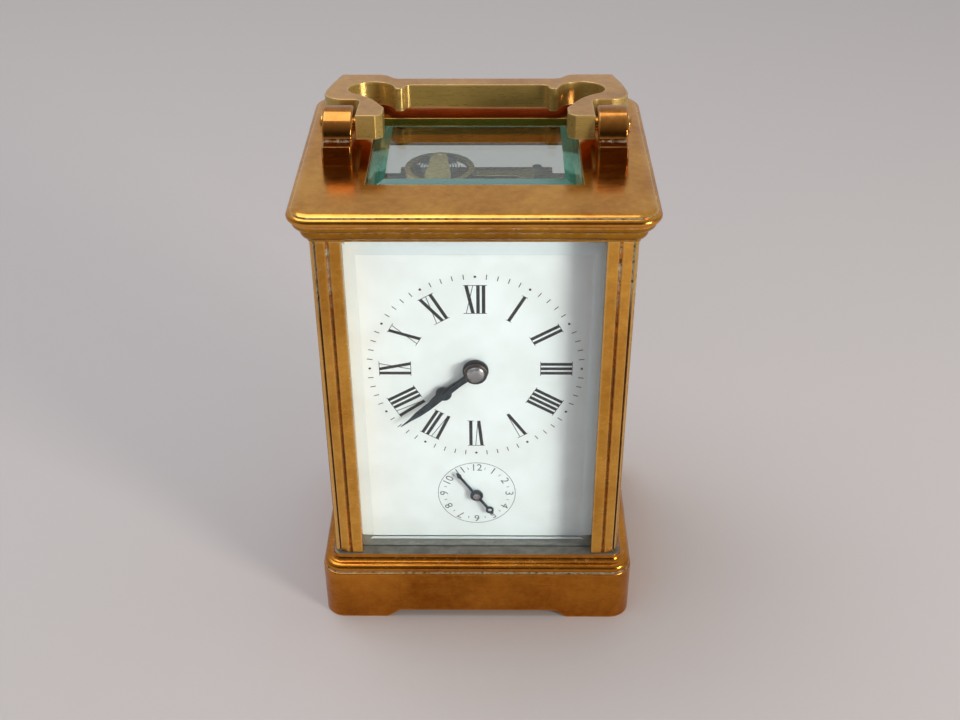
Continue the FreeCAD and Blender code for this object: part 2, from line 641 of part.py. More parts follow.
minute_points = [(0.75, 0), (0.5, 5), (0.85, 15), (0.7, 18), (0.3, 20.5), (0, MINUTE_LENGTH)]
hour_points = [(0.85, 0), (0.6, 5)] + bulb(HOUR_BULB, HOUR_BULB_R) + [(0.75, 13.0), (0, HOUR_LENGTH)]
keep("minute_hand", hand(minute_points, HAND_ANGLE, centre, minute_y - HAND_T, COLLET_R - 0.2, CENTRE_R))
keep("hour_hand", hand(hour_points, HAND_ANGLE, centre, hour_y - HAND_T, COLLET_R + 0.5, HOUR_PIPE_R))
collet_y = minute_y - HAND_T - COLLET_T
collet = rod_y(COLLET_R, collet_y, minute_y - HAND_T, *centre).cut(
    rod_y(CENTRE_R, collet_y, minute_y - HAND_T, *centre))
keep("hand_collet", collet)
ring_r = 1.0
alarm_points = [(0.3, 0), (0.25, 6.6), (0.55, 7.4), (0, ALARM_LENGTH)]
tail_points = [(0.3, 0), (0.3, ALARM_RING - ring_r)] + bulb(ALARM_RING, ring_r) + [(0, ALARM_TAIL)]
alarm_hand = hand(alarm_points, ALARM_ANGLE, alarm, hour_y - HAND_T, HOUR_PIPE_R - 0.3, ARBOR_R)
alarm_hand = alarm_hand.fuse(hand(tail_points, ALARM_ANGLE + 180, alarm, hour_y - HAND_T,
                                  HOUR_PIPE_R - 0.3, ARBOR_R)).removeSplitter()
eye = at(90 - ALARM_ANGLE - 180, ALARM_RING)
eye_hole = rod_y(ring_r * 0.55, hour_y - HAND_T, hour_y, alarm[0] + eye[0], alarm[1] + eye[1])
alarm_hand = alarm_hand.cut(eye_hole)
keep("alarm_hand", alarm_hand)

# Wheel centres
inter_turn = -83.0
barrel_turn = 198.0
third_turn = 119.0
crown_turn = 10.5
minute_turn = -60.0
alarm_wheel_turn = 62.0
inter_reach = pitch_r(INTER_N, INTER_M) + pitch_r(CENTRE_PINION_N, INTER_M)
barrel_reach = pitch_r(BARREL_N, BARREL_M) + pitch_r(INTER_PINION_N, BARREL_M)
third_reach = pitch_r(CENTRE_N, TRAIN_M) + pitch_r(THIRD_PINION_N, TRAIN_M)
crown_reach = pitch_r(THIRD_N, TRAIN_M) + pitch_r(CROWN_PINION_N, TRAIN_M)
motion_reach = pitch_r(CANNON_N, CANNON_M) + pitch_r(MINUTE_N, CANNON_M)
hour_m = 2 * motion_reach / (MINUTE_PINION_N + HOUR_N)
alarm_reach = pitch_r(ALARM_BARREL_N, ALARM_M) + pitch_r(ALARM_PINION_N, ALARM_M)


def beside(start, angle, distance):
    step = at(angle, distance)
    return start[0] + step[0], start[1] + step[1]


inter = beside(centre, inter_turn, inter_reach)
barrel = beside(inter, barrel_turn, barrel_reach)
third = beside(centre, third_turn, third_reach)
crown = beside(third, crown_turn, crown_reach)
minute = beside(centre, minute_turn, motion_reach)
alarm_barrel = (ALARM_BARREL_X, centre[1] - ALARM_BARREL_DOWN)
alarm_wheel = beside(alarm_barrel, alarm_wheel_turn, alarm_reach)
hammer = (HAMMER_X, alarm_barrel[1] - HAMMER_DOWN)


def meshed(count, angle):
    """Phase that puts a gap towards the angle."""
    return angle + 180.0 / count


# Movement plates, pillars and the screws that hold them
hammer_y = bell_y
arbor_holes = [(CENTRE_R, centre), (ARBOR_R, inter), (ARBOR_R, third), (ARBOR_R, crown), (WIND_R, barrel),
               (ARBOR_R, alarm), (WIND_R, alarm_barrel), (ARBOR_R, alarm_wheel), (ARBOR_R, hammer)]
pivots = Part.makeCompound([rod_y(radius + RUNNING, y_front, y_rear, *spot) for radius, spot in arbor_holes])
pillar_levels = (z_floor + PILLAR_LOW, z_plate - PILLAR_DOWN)
pillar_places = [(side * pillar_x, level) for side in (-1, 1) for level in pillar_levels]
front_plate = box(-plate_half, plate_half, y_front, y_inner, z_floor, z_plate).cut(pivots)
stud = rod_y(STUD_R, dial_y1 + DIAL_GAP, y_front, *minute)
front_plate = front_plate.fuse(stud).removeSplitter()
back_plate = box(-plate_half, plate_half, y_back, y_rear, z_floor, z_plate).cut(pivots)
screw_spots = [(side * PLATFORM_X * 0.8, y) for side in (-1, 1)
               for y in ((y_front + y_inner) / 2, (y_back + y_rear) / 2)]
platform_holes = Part.makeCompound([rod_z(STAFF_R, z_plate - 3, z_platform, x, y) for x, y in screw_spots])
keep("movement_front_plate", front_plate.cut(platform_holes))
keep("movement_back_plate", back_plate.cut(platform_holes))
pillars = Part.makeCompound([rod_y(PILLAR_R, y_inner, y_back, x, z) for x, z in pillar_places])
screw_reach = FLOOR_T + PILLAR_LOW
movement_screws = Part.makeCompound([screw_up(side * pillar_x, movement_y, z_floor - FLOOR_T, screw_reach)
                                     for side in (-1, 1)])
keep("movement_screws", movement_screws)
keep("movement_pillars", pillars.cut(movement_screws))

# Going train
barrel_y = y_inner + BARREL_IN
barrel_body = teeth(BARREL_N, BARREL_M, barrel, barrel_y, TEETH_T, barrel_turn + 180)
drum_r = pitch_r(BARREL_N, BARREL_M) - DEDENDUM * BARREL_M - 0.4
barrel_body = barrel_body.fuse(rod_y(drum_r, barrel_y, barrel_y + BARREL_H, *barrel)).removeSplitter()
barrel_body = barrel_body.cut(rod_y(WIND_R + RUNNING, barrel_y, barrel_y + BARREL_H, *barrel))
keep("going_barrel", barrel_body)


def winding_arbor(spot):
    body = rod_y(WIND_R, y_front, y_rear + 1, *spot)
    return body.fuse(square_end(spot, y_rear, y_rear + SQUARE_OUT)).removeSplitter()


keep("going_winding_arbor", winding_arbor(barrel))


def wheel(count, module, spot, y0, phase):
    disc = teeth(count, module, spot, y0, WHEEL_T, phase)
    rim = pitch_r(count, module) - DEDENDUM * module - WHEEL_RIM
    return disc.cut(windows(spot, HUB_R, rim, SPOKES, y0, WHEEL_T))


def arbor(spot):
    return rod_y(ARBOR_R, y_front, y_rear, *spot)


inter_pinion = teeth(INTER_PINION_N, BARREL_M, inter, barrel_y - PINION_LAP, PINION_T,
                     meshed(INTER_PINION_N, barrel_turn))
inter_y = barrel_y + BARREL_H + INTER_GAP
inter_wheel = wheel(INTER_N, INTER_M, inter, inter_y, inter_turn + 180)
keep("intermediate_wheel", arbor(inter).fuse([inter_pinion, inter_wheel]).removeSplitter())

centre_y = inter_y + CENTRE_GAP
centre_pinion = teeth(CENTRE_PINION_N, INTER_M, centre, inter_y - PINION_LAP, CENTRE_GAP - PINION_LAP,
                      meshed(CENTRE_PINION_N, inter_turn))
centre_body = wheel(CENTRE_N, TRAIN_M, centre, centre_y, third_turn)
centre_hub = rod_y(CENTRE_R + 0.4, inter_y, centre_y + WHEEL_T, *centre)
centre_body = centre_body.fuse([centre_pinion, centre_hub]).removeSplitter()
centre_body = centre_body.cut(rod_y(CENTRE_R + RUNNING, y_inner, y_back, *centre))
keep("centre_wheel", centre_body)

third_y = y_inner + THIRD_IN
third_pinion = teeth(THIRD_PINION_N, TRAIN_M, third, centre_y - PINION_LAP, WHEEL_T + 2 * PINION_LAP,
                     meshed(THIRD_PINION_N, third_turn + 180))
third_wheel = wheel(THIRD_N, TRAIN_M, third, third_y, crown_turn)
keep("third_wheel", arbor(third).fuse([third_pinion, third_wheel]).removeSplitter())

crown_y = third_y + CROWN_GAP
crown_pinion = teeth(CROWN_PINION_N, TRAIN_M, crown, third_y - PINION_LAP, WHEEL_T + 2 * PINION_LAP,
                     meshed(CROWN_PINION_N, crown_turn + 180))
crown_end = crown_y + WHEEL_T + CROWN_TOOTH
crown_disc = rod_y(CROWN_R, crown_y, crown_end, *crown)
crown_disc = crown_disc.cut(rod_y(CROWN_R - CROWN_RIM, crown_y + WHEEL_T, crown_end, *crown))
crown_disc = crown_disc.cut(windows(crown, HUB_R, CROWN_R - CROWN_RIM - CROWN_SHELF, SPOKES, crown_y, WHEEL_T))
crown_mean = CROWN_R - CROWN_RIM / 2
crown_pitch = 2 * math.pi * crown_mean / CROWN_N
gaps = []
for number in range(CROWN_N):
    gap = box(CROWN_R - 2 * CROWN_RIM, CROWN_R + CROWN_RIM, crown_y + WHEEL_T + CROWN_FLOOR, crown_end,
              -crown_pitch * CROWN_GAP_SHARE, crown_pitch * CROWN_GAP_SHARE)
    gap.rotate(V(0, 0, 0), V(0, 1, 0), -90 - 360.0 / CROWN_N * number)
    gap.translate(V(crown[0], 0, crown[1]))
    gaps.append(gap)
crown_disc = crown_disc.cut(Part.makeCompound(gaps))
keep("contrate_wheel", arbor(crown).fuse([crown_pinion, crown_disc]).removeSplitter())

# Platform with the escapement, balance to the left of the escape wheel
escape_pitch = ESCAPE_PINION_N * crown_pitch / (2 * math.pi)
leaf_tip = escape_pitch + LEAF_RISE
escape = (crown[0], crown_end - CROWN_MESH + leaf_tip)
lever_at = (escape[0] - LEVER_X, escape[1])
balance_at = (escape[0] - BALANCE_X, escape[1])
z_escape = z_platform + ESCAPE_UP
z_balance = z_platform + BALANCE_UP
z_cock = z_platform + COCK_UP
z_bridge = z_escape + BRIDGE_UP
z_bridge_top = z_bridge + BRIDGE_T
platform = box(-PLATFORM_X, PLATFORM_X, y_front, y_rear, z_plate, z_platform)
platform = platform.cut(platform_holes)
for spot in (escape, lever_at, balance_at):
    platform = platform.cut(rod_z(STAFF_R + RUNNING, z_plate, z_platform, *spot))
keep("platform", platform)
keep("platform_screws", Part.makeCompound(
    [rod_z(STAFF_R, z_plate - 3, z_platform, x, y).fuse(
        rod_z(2.2 * STAFF_R, z_platform, z_platform + 0.7, x, y)).removeSplitter() for x, y in screw_spots]))


def star(count, tip, root, lean, spot, z0, thick):
    """Disc round Z with leaning pointed teeth."""
    points = []
    for number in range(count):
        middle = 360.0 / count * number - 90
        points.append(at(middle - 90.0 / count, root))
        points.append(at(middle + lean, tip))
        points.append(at(middle + 90.0 / count, root))
    return slab(points, lambda x, y: V(spot[0] + x, spot[1] + y, z0), V(0, 0, thick))


z_leaf = crown[1] + CROWN_R - LEAF_BELOW
escape_pinion = star(ESCAPE_PINION_N, leaf_tip, escape_pitch * 0.6, 0, escape, z_leaf, LEAF_T)
escape_body = rod_z(STAFF_R, z_leaf, z_bridge_top, *escape)
escape_wheel = star(ESCAPE_N, ESCAPE_R, ESCAPE_R * 0.72, 7, escape, z_escape, 0.6)
keep("escape_wheel", escape_body.fuse([escape_pinion, escape_wheel]).removeSplitter())

pallet_span = 3.3
pallet_in = pallet_span - 0.9
lever_points = [(-0.4, -pallet_span), (1.1, -pallet_span), (0.7, -pallet_in), (0.4, -pallet_in),
                (0.4, pallet_in), (0.7, pallet_in), (1.1, pallet_span), (-0.4, pallet_span),
                (-0.4, 0.4), (-5.2, 0.4), (-6.3, 0.9), (-6.3, 0.35), (-5.7, 0), (-6.3, -0.35), (-6.3, -0.9),
                (-5.2, -0.4), (-0.4, -0.4)]
lever = slab(lever_points, lambda x, y: V(lever_at[0] + x, lever_at[1] + y, z_escape), V(0, 0, 0.7))
lever = lever.fuse(rod_z(STAFF_R, z_plate, z_bridge_top, *lever_at)).removeSplitter()
keep("pallet_lever", lever)

bridge_x1 = escape[0] + ESCAPE_R + 4.6
bridge = box(lever_at[0] - 1.0, bridge_x1, escape[1] - 1.4, escape[1] + 1.4, z_bridge, z_bridge_top)
bridge_foot = box(bridge_x1 - 3.4, bridge_x1, escape[1] - 2.4, escape[1] + 2.4, z_platform, z_bridge_top)
bridge = bridge.fuse(bridge_foot)
for spot in (escape, lever_at):
    bridge = bridge.cut(rod_z(STAFF_R + RUNNING, z_bridge, z_bridge_top, *spot))
keep("escape_bridge", bridge.removeSplitter())

z_rim = z_balance + BALANCE_T
rim = rod_z(BALANCE_R, z_balance, z_rim, *balance_at)
rim = rim.cut(rod_z(BALANCE_R - BALANCE_RIM, z_balance, z_rim, *balance_at))
spoke_y = BALANCE_R - BALANCE_RIM / 2
spoke = box(balance_at[0] - SPOKE_W / 2, balance_at[0] + SPOKE_W / 2, balance_at[1] - spoke_y,
            balance_at[1] + spoke_y, z_balance, z_balance + SPOKE_T)
staff = rod_z(STAFF_R, z_plate, z_cock + COCK_T, *balance_at)
collet_top = z_rim + SPRING_H + 2 * SPRING_CLEAR
spring_collet = rod_z(SPRING_COLLET, z_balance, collet_top, *balance_at)
keep("balance_wheel", rim.fuse([spoke, staff, spring_collet]).removeSplitter())

# Hairspring: half circles about two centres by turns, its first turn touching the collet
z_spring = z_rim + SPRING_CLEAR + SPRING_H / 2
spring_start = SPRING_COLLET + SPRING_WIRE / 2 + SPRING_PITCH / 4
arcs = []
for number in range(2 * SPRING_TURNS):
    radius = spring_start + SPRING_PITCH / 2 * number
    side = 1 if number % 2 == 0 else -1
    mid_x = balance_at[0] - side * SPRING_PITCH / 4
    mid_y = balance_at[1]
    ends = [V(mid_x + side * radius, mid_y, z_spring), V(mid_x, mid_y + side * radius, z_spring),
            V(mid_x - side * radius, mid_y, z_spring)]
    arcs.append(Part.Arc(*ends).toShape())
first = arcs[0].valueAt(arcs[0].FirstParameter)
ribbon = outline([(-SPRING_WIRE / 2, -SPRING_H / 2), (SPRING_WIRE / 2, -SPRING_H / 2),
                  (SPRING_WIRE / 2, SPRING_H / 2), (-SPRING_WIRE / 2, SPRING_H / 2)],
                 lambda x, z: V(first.x + x, first.y, first.z + z))
spring = Part.Wire(arcs).makePipeShell([ribbon], True, False)
keep("balance_spring", spring)
print("hairspring least gap between turns", round(SPRING_PITCH - SPRING_WIRE, 3))

cock_y1 = balance_at[1] - BALANCE_R - 1.4
cock = box(balance_at[0] - 3.0, balance_at[0] + 3.0, y_inner, cock_y1, z_platform, z_cock + COCK_T)
arm_points = [(-3.0, y_inner), (3.0, y_inner), (3.0, cock_y1), (1.9, balance_at[1]),
              (0, balance_at[1] + 1.9, -1.9, balance_at[1]), (-3.0, cock_y1)]
cock_arm = slab(arm_points, lambda x, y: V(balance_at[0] + x, y, z_cock), V(0, 0, COCK_T))
cock = cock.fuse(cock_arm).removeSplitter()
keep("balance_cock", cock.cut(rod_z(STAFF_R + RUNNING, z_cock, z_cock + COCK_T, *balance_at)))

# Motion work between dial and front plate
cannon = teeth(CANNON_N, CANNON_M, centre, y_front - 1.5, 1.2, minute_turn)
centre_arbor = rod_y(CENTRE_R, collet_y - 0.25, y_rear + 1, *centre)
centre_arbor = centre_arbor.fuse([cannon, square_end(centre, y_rear, y_rear + SQUARE_OUT)]).removeSplitter()
keep("centre_arbor", centre_arbor)
minute_wheel = teeth(MINUTE_N, CANNON_M, minute, y_front - 1.4, 0.9, meshed(MINUTE_N, minute_turn + 180))
minute_pinion = teeth(MINUTE_PINION_N, hour_m, minute, y_front - 3.4, 2.2, minute_turn + 180)
minute_wheel = minute_wheel.fuse(minute_pinion).removeSplitter()
minute_wheel = minute_wheel.cut(rod_y(STUD_R + RUNNING, dial_y1, y_front, *minute))
keep("minute_wheel", minute_wheel)
hour_wheel = teeth(HOUR_N, hour_m, centre, y_front - 3.2, 0.9, meshed(HOUR_N, minute_turn))
hour_pipe = rod_y(HOUR_PIPE_R, hour_y - HAND_T, y_front - 2.3, *centre)
hour_wheel = hour_wheel.fuse(hour_pipe).removeSplitter()
keep("hour_wheel", hour_wheel.cut(rod_y(CENTRE_R + 2 * RUNNING, hour_y - HAND_T, y_front, *centre)))

# Alarm work
alarm_arbor = rod_y(ARBOR_R, hour_y - HAND_T - 0.3, y_rear + 1, *alarm)
keep("alarm_arbor", alarm_arbor.fuse(square_end(alarm, y_rear, y_rear + SQUARE_OUT)).removeSplitter())
alarm_y = y_inner + ALARM_IN
alarm_drum = teeth(ALARM_BARREL_N, ALARM_M, alarm_barrel, alarm_y, TEETH_T, alarm_wheel_turn)
alarm_drum_r = pitch_r(ALARM_BARREL_N, ALARM_M) - DEDENDUM * ALARM_M - 0.4
alarm_end = alarm_y + ALARM_BARREL_H
alarm_drum = alarm_drum.fuse(rod_y(alarm_drum_r, alarm_y, alarm_end, *alarm_barrel)).removeSplitter()
keep("alarm_barrel", alarm_drum.cut(rod_y(WIND_R + RUNNING, alarm_y, alarm_end, *alarm_barrel)))
keep("alarm_winding_arbor", winding_arbor(alarm_barrel))
alarm_pinion = teeth(ALARM_PINION_N, ALARM_M, alarm_wheel, alarm_y - PINION_LAP, PINION_T,
                     meshed(ALARM_PINION_N, alarm_wheel_turn + 180))
alarm_disc = teeth(ALARM_WHEEL_N, ALARM_WHEEL_M, alarm_wheel, y_inner + ALARM_WHEEL_IN, WHEEL_T, 0)
keep("alarm_wheel", arbor(alarm_wheel).fuse([alarm_pinion, alarm_disc]).removeSplitter())
head_z = z_floor - HAMMER_HEAD_DOWN
arm_half = 0.7
hammer_body = arbor(hammer).fuse([
    rod_y(2 * arm_half, hammer_y - 1.2, hammer_y + 1.2, *hammer),
    box(hammer[0] - arm_half, hammer[0] + arm_half, hammer_y - arm_half, hammer_y + arm_half, head_z,
        hammer[1]),
    rod_x(HAMMER_HEAD, BELL_R + HAMMER_GAP, BELL_R + HAMMER_GAP + 2.6, hammer_y, head_z)]).removeSplitter()
keep("alarm_hammer", hammer_body)
bell_top = z_floor - FLOOR_T - BELL_SPACER
bell_low = bell_top - BELL_H
bell_flat = BELL_R - BELL_CONE
bell_points = [(SCREW_R, bell_top), (bell_flat, bell_top), (BELL_R, bell_top - BELL_CONE), (BELL_R, bell_low),
               (BELL_R - BELL_T, bell_low), (BELL_R - BELL_T, bell_top - BELL_CONE),
               (bell_flat, bell_top - BELL_T), (SCREW_R, bell_top - BELL_T)]
bell = Part.Face(outline(bell_points, lambda x, z: V(x, bell_y, z))).revolve(V(0, bell_y, 0), V(0, 0, 1), 360)
keep("alarm_bell", bell)
bell_screw = screw_up(0, bell_y, bell_top - BELL_T, BELL_T + BELL_SPACER + FLOOR_T * 0.8)
spacer = rod_z(SCREW_HEAD_R, bell_top, bell_top + BELL_SPACER, 0, bell_y)
keep("bell_screw", bell_screw.fuse(spacer).removeSplitter())
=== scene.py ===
"""Brass carriage clock with an alarm sub-dial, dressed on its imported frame."""

from __future__ import annotations

import json
import logging
import math
from dataclasses import dataclass, field
from enum import Enum

import bmesh
import bpy
from mathutils import Matrix, Vector

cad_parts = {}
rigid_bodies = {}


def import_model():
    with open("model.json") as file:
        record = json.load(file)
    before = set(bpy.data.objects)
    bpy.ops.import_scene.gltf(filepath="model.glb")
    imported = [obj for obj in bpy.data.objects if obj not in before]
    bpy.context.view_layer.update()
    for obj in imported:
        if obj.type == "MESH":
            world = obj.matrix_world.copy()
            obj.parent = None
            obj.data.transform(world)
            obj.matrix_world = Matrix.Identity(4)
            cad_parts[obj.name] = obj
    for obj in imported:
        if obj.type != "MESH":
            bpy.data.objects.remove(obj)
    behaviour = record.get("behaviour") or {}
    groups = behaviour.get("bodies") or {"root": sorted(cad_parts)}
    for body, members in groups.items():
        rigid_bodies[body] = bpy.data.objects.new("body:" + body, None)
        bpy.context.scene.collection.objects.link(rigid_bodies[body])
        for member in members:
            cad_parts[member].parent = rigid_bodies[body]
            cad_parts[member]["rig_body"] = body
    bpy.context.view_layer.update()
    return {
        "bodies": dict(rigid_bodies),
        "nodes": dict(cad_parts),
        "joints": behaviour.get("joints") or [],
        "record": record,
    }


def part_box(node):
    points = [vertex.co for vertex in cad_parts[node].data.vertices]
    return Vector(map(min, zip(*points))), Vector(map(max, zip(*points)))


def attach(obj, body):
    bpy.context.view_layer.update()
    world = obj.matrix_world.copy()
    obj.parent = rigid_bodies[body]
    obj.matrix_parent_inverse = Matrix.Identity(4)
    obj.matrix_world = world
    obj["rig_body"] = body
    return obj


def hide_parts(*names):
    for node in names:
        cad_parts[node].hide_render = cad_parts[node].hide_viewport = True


LOG = logging.getLogger("carriage_clock")
MM = 0.001

Material = bpy.types.Material
Node = bpy.types.Node
Piece = bpy.types.Object
Shape = bmesh.types.BMesh
Socket = bpy.types.NodeSocket
Tree = bpy.types.NodeTree
Colour = tuple[float, float, float, float]
Point = tuple[float, float, float]
Span = tuple[float, float]

UNIT: Span = (0.0, 1.0)
SRGB_KNEE = 0.04045
SRGB_SLOPE = 12.92
SRGB_LIFT = 0.055
SRGB_POWER = 2.4


class Slot(Enum):
    """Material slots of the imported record."""

    CASE = "case_brass"
    MOVEMENT = "movement_brass"
    BELL = "bell_metal"
    STEEL = "steel"
    BLUED = "blued_steel"
    ENAMEL = "enamel"
    GLASS = "glass"


class MixIn(Enum):
    """Numbers of the mix node's inputs, some of which share their names."""

    FACTOR = 0
    FIRST_VALUE = 2
    SECOND_VALUE = 3
    FIRST_COLOUR = 6
    SECOND_COLOUR = 7


class MixOut(Enum):
    """Numbers of the mix node's outputs, which share their names."""

    VALUE = 0
    COLOUR = 2


def linear(code: str) -> Colour:
    """Turn an sRGB hex colour into linear values.

    Args:
        code: six hex digits.

    Returns:
        Red, green, blue and an alpha of one.
    """
    parts = [int(code[place:place + 2], 16) / 255 for place in (0, 2, 4)]
    values = [part / SRGB_SLOPE if part <= SRGB_KNEE else ((part + SRGB_LIFT) / (1 + SRGB_LIFT)) ** SRGB_POWER
              for part in parts]
    return values[0], values[1], values[2], 1.0


def grey(level: float) -> Colour:
    """Neutral linear colour.

    Args:
        level: its brightness.

    Returns:
        Red, green, blue and an alpha of one.
    """
    return level, level, level, 1.0


def add(tree: Tree, kind: str, links: dict | None = None, **settings: object) -> Node:
    """Add one node with its settings and its incoming links.

    Args:
        tree: node tree that gets it.
        kind: node type without the leading ShaderNode.
        links: input name or number to an output socket or a fixed value.
        settings: attributes of the node.

    Returns:
        The new node.
    """
    node = tree.nodes.new("ShaderNode" + kind)
    for name, value in settings.items():
        setattr(node, name, value)
    for name, value in (links or {}).items():
        if isinstance(value, Socket):
            tree.links.new(value, node.inputs[name])
        else:
            node.inputs[name].default_value = value
    return node


def ramp(tree: Tree, factor: Socket, stops: list[tuple[float, Colour]]) -> Socket:
    """Colour ramp on a factor.

    Args:
        tree: node tree that gets it.
        factor: socket to read.
        stops: places and colours.

    Returns:
        The colour output.
    """
    node = add(tree, "ValToRGB", {"Fac": factor})
    elements = node.color_ramp.elements
    for number, (place, colour) in enumerate(stops):
        element = elements[number] if number < 2 else elements.new(place)
        element.position = place
        element.color = colour
    return node.outputs["Color"]


def two_tone(tree: Tree, factor: Socket, span: Span, first: str, second: str) -> Socket:
    """Colour ramp between two hex colours.

    Args:
        tree: node tree that gets it.
        factor: socket to read.
        span: factors at which the first colour ends and the second starts.
        first: hex colour of low factors.
        second: hex colour of high factors.

    Returns:
        The colour output.
    """
    return ramp(tree, factor, [(span[0], linear(first)), (span[1], linear(second))])


def mix(tree: Tree, factor: Socket | float, first: Socket | Colour, second: Socket | Colour) -> Socket:
    """Mix two colours.

    Args:
        tree: node tree that gets it.
        factor: share of the second colour.
        first: colour at zero.
        second: colour at one.

    Returns:
        The colour output.
    """
    node = add(tree, "Mix", {MixIn.FACTOR.value: factor, MixIn.FIRST_COLOUR.value: first,
                             MixIn.SECOND_COLOUR.value: second}, data_type="RGBA")
    return node.outputs[MixOut.COLOUR.value]


def calc(tree: Tree, operation: str, *values: Socket | float) -> Socket:
    """Arithmetic on values.

    Args:
        tree: node tree that gets it.
        operation: name of the operation.
        values: what goes into it.

    Returns:
        The result.
    """
    return add(tree, "Math", dict(enumerate(values)), operation=operation).outputs["Value"]


def remap(tree: Tree, value: Socket, source: Span = UNIT, target: Span = UNIT) -> Socket:
    """Map a value from one span to another and hold it there.

    Args:
        tree: node tree that gets it.
        value: socket to read.
        source: ends of the span that is read.
        target: what those ends become.

    Returns:
        The result.
    """
    return add(tree, "MapRange", {"Value": value, "From Min": source[0], "From Max": source[1],
                                  "To Min": target[0], "To Max": target[1]}).outputs["Result"]


def noise(tree: Tree, where: Socket, grain_mm: float, detail: float, roughness: float = 0.5) -> Socket:
    """Cloudy pattern.

    Args:
        tree: node tree that gets it.
        where: its coordinates.
        grain_mm: size of its clouds.
        detail: number of finer layers.
        roughness: share of the finer layers.

    Returns:
        The pattern, about one half on average.
    """
    return add(tree, "TexNoise", {"Vector": where, "Scale": 1 / (grain_mm * MM), "Detail": detail,
                                  "Roughness": roughness}).outputs["Fac"]


def coordinates(tree: Tree, kind: str = "Object") -> Socket:
    """Coordinates for a pattern.

    Args:
        tree: node tree that gets the node.
        kind: Object for places on a piece, Normal for its faces' directions, Generated for the room's.

    Returns:
        The coordinates.
    """
    return add(tree, "TexCoord").outputs[kind]


def new_material(name: str) -> tuple[Material, Tree, Node]:
    """Empty material.

    Args:
        name: name of the material.

    Returns:
        The material, its tree and its Principled shader.
    """
    material = bpy.data.materials.new(name)
    material.use_nodes = True
    tree = material.node_tree
    return material, tree, tree.nodes["Principled BSDF"]


